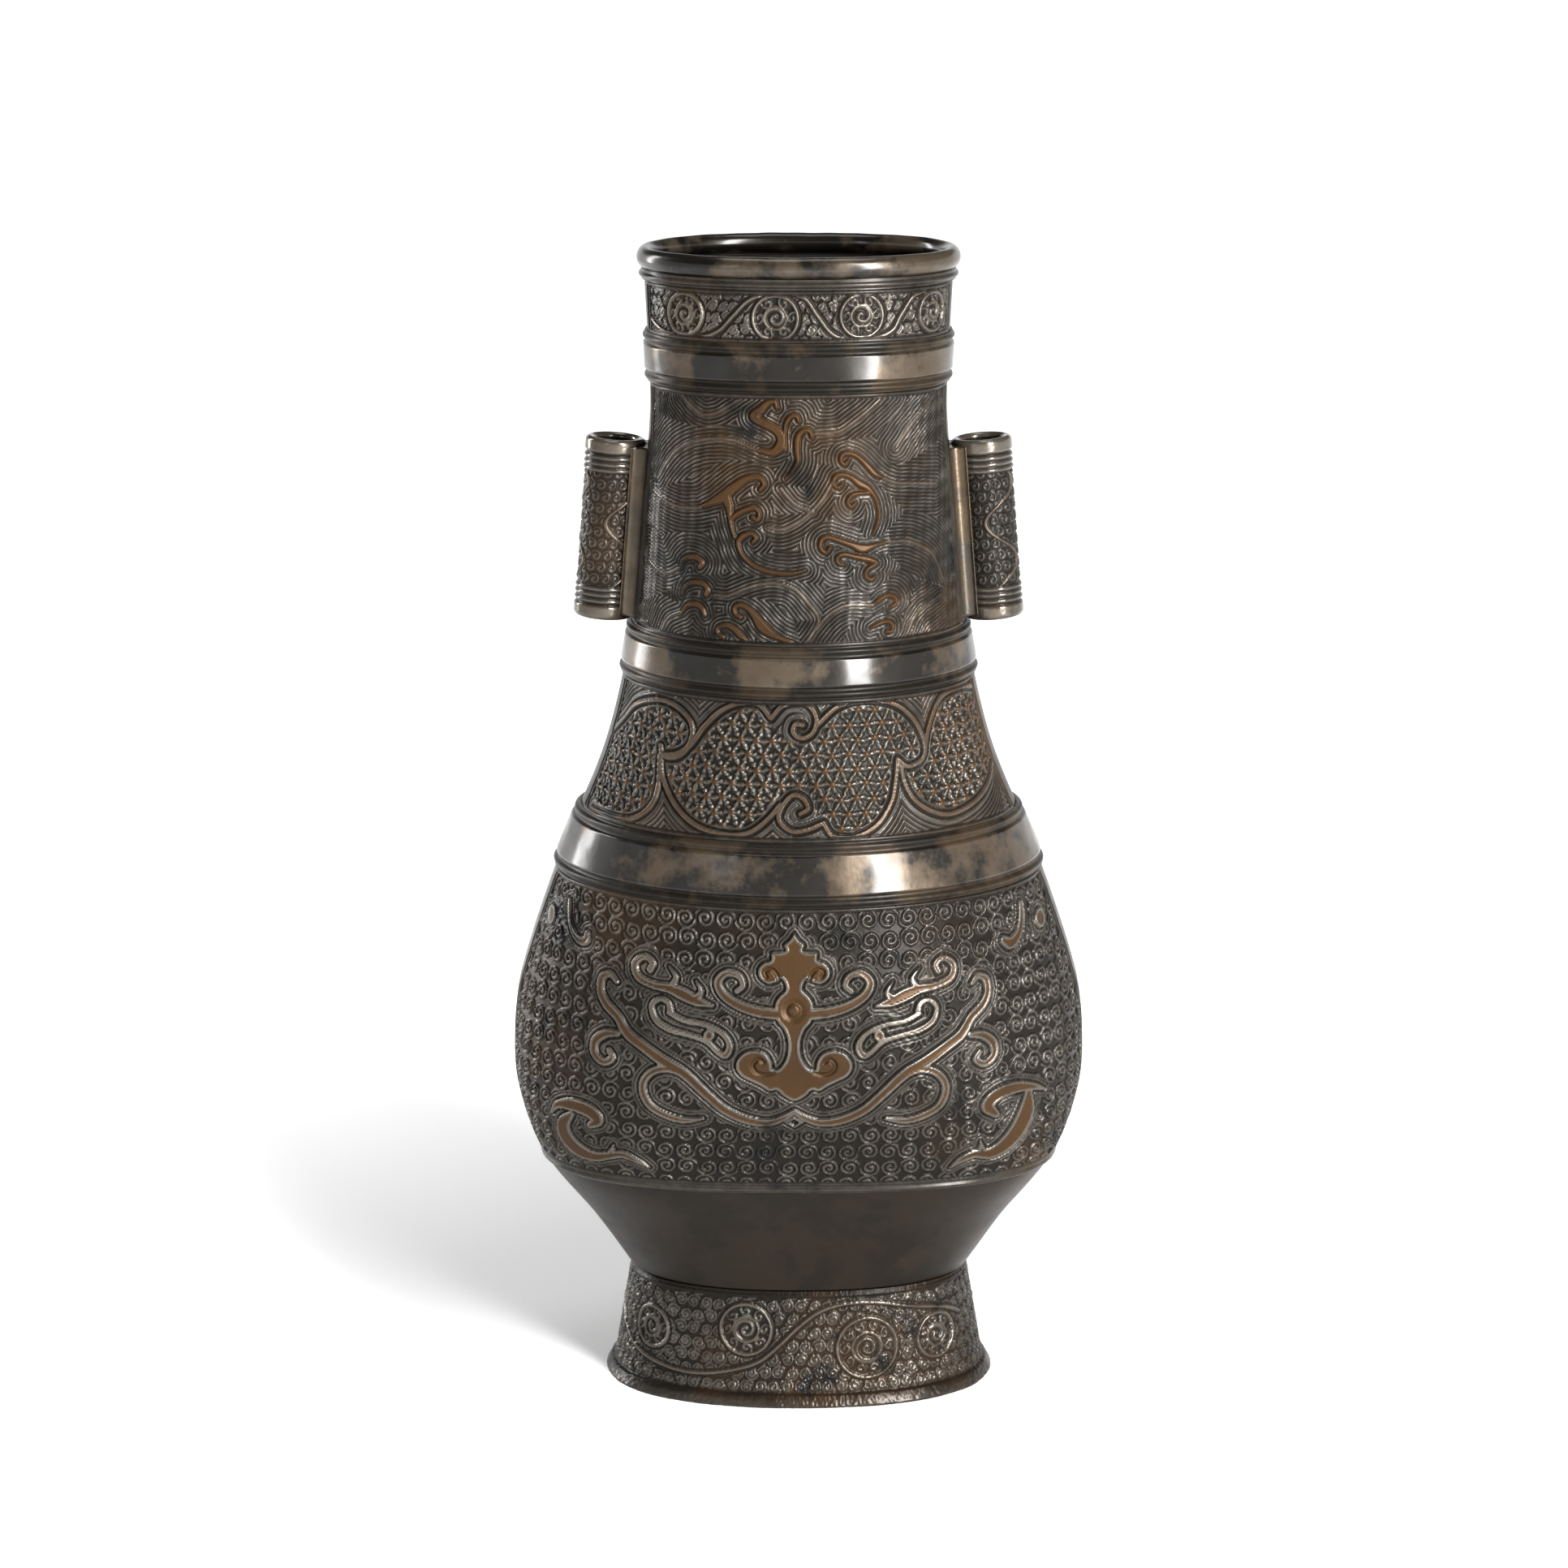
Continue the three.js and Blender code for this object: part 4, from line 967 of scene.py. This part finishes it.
class VASE_OT_lip(bpy.types.Operator):
    """Rounded lip and the inside wall of the vessel down to its floor"""

    bl_idname = "vase.lip"
    bl_label = "Lip and inside wall"

    def execute(self, context):
        angle = turn(420)
        half = (LIP_TOP - LIP_SEAT) / 2
        sweep = np.linspace(-0.5 * math.pi, 1.1 * math.pi, 34)
        grow = LIP_RAISE - LIP_THICKNESS / 2 + LIP_THICKNESS / 2 * np.cos(sweep)
        height = LIP_SEAT + half + half * np.sin(sweep)
        points = oval(np.full(len(sweep), LIP_FLOOR), grow, angle, height)
        dents = 0.05 * (1 + np.sin(7 * angle + 1) * np.sin(3 * angle)) + 0.02 * (1 + np.sin(23 * angle))
        points[..., 2] -= dents[None, :] * smooth(LIP_SEAT + half, LIP_TOP, height)[:, None]
        # The whole lip gets the polished colour: wear with painted highlight
        lip = ring_mesh("lip", points, np.zeros(1), np.full(1, 0.8))
        finish_piece(lip, band_finish(), "vessel_bronze", "vessel_body")
        self.inside_wall(angle)
        return {"FINISHED"}

    def inside_wall(self, angle):
        level = np.linspace(LIP_FLOOR + SEAM, FOOT_TOP, 70)
        down = oval(level, np.full(len(level), -WALL), angle)
        down[..., :2] *= 1 + grain(down.shape[:2], 0.003, 6)[..., None]
        up = oval(level[::-1], np.full(len(level), -SKIN - 0.2), angle)
        inside = ring_mesh("inside_wall", np.concatenate([up, down]), np.zeros(1), np.zeros(1))
        finish_piece(inside, inside_finish("inside bronze"), "vessel_bronze", "vessel_body")


class VASE_OT_foot(bpy.types.Operator):
    """Splayed foot with its scroll relief and chipped edge with wear marks, and the finish of the plate let
    into it
    """

    bl_idname = "vase.foot"
    bl_label = "Foot and base plate"

    def execute(self, context):
        columns = 860
        side = Side(0.0, FOOT_TOP - FOOT_GAP, columns, 1.1 * settings().spacing / MM)
        relief, brown, wear_and_highlight = round_both(columns, *foot_relief(side))
        outside = side.base + outward(side.base) * relief[..., None]
        outside[..., 2] = np.maximum(outside[..., 2], 0)
        outside[0, :, 2] = 0
        socket = [
            (FOOT_TOP, SOCKET_RIM, FOOT_TOP - FOOT_GAP),
            (FOOT_TOP, SOCKET_RIM, LEDGE_TOP),
            (FOOT_TOP, LEDGE_RIM, LEDGE_TOP),
            (FOOT_TOP, LEDGE_RIM, LEDGE_TOP - 2),
            (LEDGE_FLOOR, FOOT_WALL, LEDGE_FLOOR),
            (FOOT_RIM_HEIGHT, FOOT_WALL, FOOT_RIM_HEIGHT),
            (0, FOOT_WALL, 0),
        ]
        level, inset, height = np.array(socket, float).T
        inner = oval(level, -inset, side.angle, height)
        tail = np.zeros((len(level), columns))
        points = np.concatenate([outside, inner])
        foot = ring_mesh("foot", points, np.concatenate([brown, tail]), np.concatenate([wear_and_highlight, tail]))
        sharpen(foot.data, len(side.level) - 1, len(points))
        finish_piece(foot, relief_finish(), "foot_bronze", "foot_ring")
        plate = bpy.data.objects["base_plate"]
        plate.data.materials.clear()
        plate.data.materials.append(inside_finish("plate bronze"))
        return {"FINISHED"}


def place_ear(points, side):
    """Leans points made upright round an ear's axis in to the neck and moves them to their side."""
    x, y, z = points[..., 0], points[..., 1], points[..., 2]
    c, s = math.cos(EAR_LEAN), math.sin(EAR_LEAN)
    leaned = [side * EAR_FOOT[0] + x * c - side * z * s, y, EAR_FOOT[1] + side * x * s + z * c]
    return np.stack(leaned, axis=-1)


def ear_relief(angle, z):
    """Rims and rings at both ends, with curls and winding lines between: height, brown share, and share of
    wear with painted highlight.
    """
    arc = EAR_RADIUS * (angle - math.pi) + 0 * z
    end = np.minimum(z, EAR_HEIGHT - z)
    rim = smooth(3.4, 2.8, end)
    rings = sum(rounded(end - level, 0.5) for level in EAR_RINGS)
    pitch = 2 * math.pi * EAR_RADIUS / EAR_CURLS
    row = np.floor(z / pitch)
    place = arc / pitch + 0.5 * (row % 2)
    ds, dv = (place - np.floor(place) - 0.5) * pitch, z - (row + 0.5) * pitch
    r = np.hypot(ds, dv)
    scroll = (0.5 + 0.5 * np.cos(2 * math.pi * r / 0.95 - np.arctan2(dv, ds))) * smooth(1.4, 1.1, r)
    apart = 2 * math.pi * EAR_RADIUS / EAR_CURVES
    sweep = arc / apart + 0.3 * np.sin(z * 0.36)
    stripe = np.abs(sweep - np.round(sweep)) * apart
    curve = rounded(stripe, 0.55)
    inside = smooth(7.4, 7.9, end)
    height = np.maximum(0.55 * scroll * smooth(0.7, 1.1, stripe), 0.8 * curve) * inside
    relief = EAR_DEPTH * (np.clip(np.maximum(rim, rings) + height, 0, 1) - 1) + grain(z.shape, 0.02, 7)
    # Raised rims, rings and scrolls: wear with painted highlight
    wear_and_highlight = 0.8 * np.maximum(np.maximum(rim, rings), height)
    return np.minimum(relief, 0), 0.5 * rim + 0.6 * curve * inside, wear_and_highlight


def ear_tube(side, columns=216, rows=150):
    """Open tube: the outside with its relief, up and over the rounded rim, down the bore and round below."""
    angle = 2 * math.pi * np.arange(columns) / columns
    round_end = (EAR_RADIUS - EAR_BORE) / 2
    z = np.linspace(round_end, EAR_HEIGHT - round_end, rows)[:, None] + 0 * angle
    relief, brown, wear_and_highlight = ear_relief(angle, z)
    radius = EAR_RADIUS + relief
    outside = np.stack([radius * np.cos(angle), radius * np.sin(angle), z], axis=-1)
    turned = np.linspace(0, math.pi, 10)[1:-1]
    across = (EAR_RADIUS + EAR_BORE) / 2 + round_end * np.cos(turned)
    over = EAR_HEIGHT - round_end + round_end * np.sin(turned)
    bore = np.linspace(EAR_HEIGHT - round_end, round_end, 24)
    reach = np.concatenate([across, np.full(24, EAR_BORE), across[::-1]])
    level = np.concatenate([over, bore, EAR_HEIGHT - over[::-1]])
    ring = [np.outer(reach, np.cos(angle)), np.outer(reach, np.sin(angle)), level[:, None] + 0 * angle]
    tail = np.zeros((len(level), columns))
    # Rounded rims: brown stain, and the polished colour with painted highlight
    tail[:8] = tail[-8:] = 0.9
    name = ("left" if side < 0 else "right") + "_ear"
    points = place_ear(np.concatenate([outside, np.stack(ring, axis=-1)]), side)
    return ring_mesh(name, points, np.concatenate([brown, 0.6 * tail]), np.concatenate([wear_and_highlight, tail]))


def solder_section(side, face):
    """Arc of the hollow circle that touches ear and neck, closed behind, and each point's share of the light
    solder colour: full next to the ear, none towards the neck.
    """
    reach = EAR_FOOT[0] - EAR_HEIGHT * math.tan(EAR_LEAN) / 2
    neck = float(outline([EAR_FOOT[1] + EAR_HEIGHT / 2])[0][0])
    hollow_x = 0.95 * neck + HOLLOW_RADIUS - reach
    hollow_y = math.sqrt((EAR_RADIUS + HOLLOW_RADIUS) ** 2 - hollow_x**2)
    sweep = np.linspace(math.atan2(-hollow_y, -hollow_x), -math.pi, 24)
    arc = np.stack([np.cos(sweep), np.sin(sweep)], -1) * HOLLOW_RADIUS + [hollow_x, hollow_y]
    back = np.array([
        [hollow_x - HOLLOW_RADIUS - 1.6, hollow_y],
        [-EAR_RADIUS - 1.4, 0.0],
        [-EAR_RADIUS + 1.2, 0.6],
        [arc[0, 0] - 0.4, arc[0, 1] - 1.0],
    ])
    # Light solder colour next to the ear, darker towards the neck
    wear_and_highlight = np.concatenate([smooth(0.75, 0.4, np.linspace(0, 1, len(arc))), np.zeros(len(back))])
    return np.concatenate([arc, back]) * [side, face], wear_and_highlight


def solder_run(side, face, name):
    """Concave strip: its section carried up beside the ear, with a flat face at each end."""
    section, wear_and_highlight = solder_section(side, face)
    levels = np.linspace(1.2, EAR_HEIGHT - 1.2, 60)
    points = np.stack([np.insert(section, 2, level, axis=1) for level in levels])
    rows, columns = points.shape[:2]
    i, j = np.meshgrid(np.arange(rows - 1), np.arange(columns), indexing="ij")
    on = (j + 1) % columns
    up = (i + 1) * columns
    quads = np.stack([i * columns + j, i * columns + on, up + on, up + j], -1)
    faces = quads.reshape(-1, 4).tolist()
    faces += [list(range(columns))[::-1], list(range((rows - 1) * columns, rows * columns))]
    if side * face < 0:
        faces = [corners[::-1] for corners in faces]
    mesh = bpy.data.meshes.new(name)
    mesh.from_pydata((place_ear(points, side) * MM).reshape(-1, 3).tolist(), [], faces)
    mesh.polygons.foreach_set("use_smooth", np.arange(len(faces)) < len(faces) - 2)
    layer = mesh.attributes.new("wear_and_highlight", "FLOAT", "POINT")
    layer.data.foreach_set("value", np.tile(wear_and_highlight, rows).astype(np.float32))
    mesh.update()
    return add_piece(name, mesh)


class VASE_OT_ears(bpy.types.Operator):
    """Tubular ears with rims, rings and scroll relief, and the solder runs that hold them"""

    bl_idname = "vase.ears"
    bl_label = "Ears"

    def execute(self, context):
        s = settings()
        carved = relief_finish()
        dark, patch = (0.02, 0.016, 0.012), (0.03, 0.024, 0.016)
        solder = bronze("solder metal", dark, s.solder, s.solder, patch, cover=0.35, rough=0.42, bump=0.8)
        for side_name, side in (("left", -1), ("right", 1)):
            finish_piece(ear_tube(side), carved, "ear_bronze", side_name + "_ear_tube")
            for face_name, face in (("front", -1), ("back", 1)):
                node = f"{side_name}_ear_{face_name}_solder"
                piece = solder_run(side, face, f"{side_name}_{face_name}_solder_run")
                finish_piece(piece, solder, "solder_metal", node)
        return {"FINISHED"}


def lamp(name, place, size, power):
    """White area lamp that faces the middle of the vase."""
    data = bpy.data.lights.new(name, "AREA")
    data.shape = "RECTANGLE"
    data.size, data.size_y = size
    data.energy = power
    light = bpy.data.objects.new(name, data)
    bpy.context.scene.collection.objects.link(light)
    light.location = place
    gap = np.array(MIDDLE) - np.array(place)
    level = math.hypot(gap[0], gap[1])
    light.rotation_euler = (math.atan2(level, -gap[2]), 0, math.atan2(gap[1], gap[0]) - math.pi / 2)


class VASE_OT_stage(bpy.types.Operator):
    """Camera, white floor, soft lamps and plain world"""

    bl_idname = "vase.stage"
    bl_label = "Stage"

    def execute(self, context):
        scene = bpy.context.scene
        scene.view_settings.view_transform = "Standard"
        data = bpy.data.cameras.new("camera")
        camera = bpy.data.objects.new("camera", data)
        scene.collection.objects.link(camera)
        data.lens, data.sensor_width = 96.9, 36.0
        data.shift_x, data.shift_y = -0.0093, 0.0238
        back = CAMERA_DISTANCE * math.cos(CAMERA_RISE)
        camera.location = (0, -back, MIDDLE[2] + CAMERA_DISTANCE * math.sin(CAMERA_RISE))
        camera.rotation_euler = (math.pi / 2 - CAMERA_RISE, 0, 0)
        scene.camera = camera
        self.floor()
        self.lights()
        self.world(scene)
        return {"FINISHED"}

    def floor(self):
        corners = [(x * FLOOR_HALF, y * FLOOR_HALF, 0) for x, y in ((-1, -1), (1, -1), (1, 1), (-1, 1))]
        mesh = bpy.data.meshes.new("floor")
        mesh.from_pydata(corners, [], [(0, 1, 2, 3)])
        floor = bpy.data.objects.new("floor", mesh)
        bpy.context.scene.collection.objects.link(floor)
        finish = Finish("white floor")
        kinds = ("Camera", "Glossy", "Transmission")
        rays = [finish.node("ShaderNodeLightPath", output=f"Is {kind} Ray") for kind in kinds]
        seen = (rays[0] + rays[1] + rays[2]).clamp()
        place = finish.node("ShaderNodeTexCoord", output="Object")
        away = finish.node("ShaderNodeVectorMath", {"operation": "LENGTH"}, {0: place}, output="Value")
        glow = finish.mix(away.step(*GLOW_REACH), *(colour((level,) * 3) for level in FLOOR_GLOW))
        finish.feed("Base Color", colour((0.8, 0.8, 0.8)))
        finish.feed("Roughness", 1.0)
        finish.feed("Specular IOR Level", 0.0)
        finish.feed("Emission Color", finish.mix(seen, colour((0, 0, 0)), glow))
        finish.feed("Emission Strength", 1.0)
        mesh.materials.append(finish.material)
        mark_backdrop(floor, self.backdrop(finish.material))

    def backdrop(self, material):
        """Low round wall at the floor's edge, so that the horizon is white as well."""
        count = 48
        around = [2 * math.pi * i / count for i in range(count)]
        points = [
            (BACKDROP_RADIUS * math.cos(angle), BACKDROP_RADIUS * math.sin(angle), height)
            for height in (0, BACKDROP_HEIGHT)
            for angle in around
        ]
        faces = [((i + 1) % count, i, count + i, count + (i + 1) % count) for i in range(count)]
        mesh = bpy.data.meshes.new("backdrop")
        mesh.from_pydata(points, [], faces)
        mesh.materials.append(material)
        wall = bpy.data.objects.new("backdrop", mesh)
        bpy.context.scene.collection.objects.link(wall)
        return wall

    def lights(self):
        power = settings().key_power
        lamp("key", (0.63, -0.9, 0.56), (0.22, 1.1), power)
        lamp("left strip", (-0.95, 0.45, 0.45), (0.2, 0.8), 0.25 * power)
        lamp("front left", (-0.6, -1.0, 0.6), (0.12, 0.5), 0.02 * power)
        lamp("top", (0, 0.1, 1.3), (0.6, 0.6), 0.1 * power)

    def world(self, scene):
        world = bpy.data.worlds.new("plain")
        world.use_nodes = True
        background = world.node_tree.nodes["Background"].inputs
        background["Color"].default_value = colour((1, 1, 1))
        background["Strength"].default_value = WORLD_LEVEL
        scene.world = world


class VASE_PT_panel(bpy.types.Panel):
    """Lists the settings and the pieces of the vase"""

    bl_idname = "VASE_PT_panel"
    bl_label = "Arrow vase"
    bl_space_type = "VIEW_3D"
    bl_region_type = "UI"
    bl_category = "Vase"

    def draw(self, context):
        for name in VaseSettings.__annotations__:
            self.layout.prop(context.scene.vase_settings, name)
        for operator in OPERATORS:
            self.layout.operator(operator.bl_idname)


OPERATORS = (VASE_OT_zones, VASE_OT_lip, VASE_OT_foot, VASE_OT_ears, VASE_OT_stage)
CLASSES = (VaseSettings, *OPERATORS, VASE_PT_panel)


def register():
    for each in CLASSES:
        bpy.utils.register_class(each)
    bpy.types.Scene.vase_settings = PointerProperty(type=VaseSettings)


def unregister():
    del bpy.types.Scene.vase_settings
    for each in reversed(CLASSES):
        bpy.utils.unregister_class(each)


def main():
    register()
    bpy.ops.vase.zones()
    bpy.ops.vase.lip()
    bpy.ops.vase.foot()
    bpy.ops.vase.ears()
    bpy.ops.vase.stage()
    boxes = {"cad": CAD_BOX, "visual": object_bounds()}
    boxes = {name: [list(corner) for corner in box] for name, box in boxes.items()}


if __name__ == "__main__":
    main()
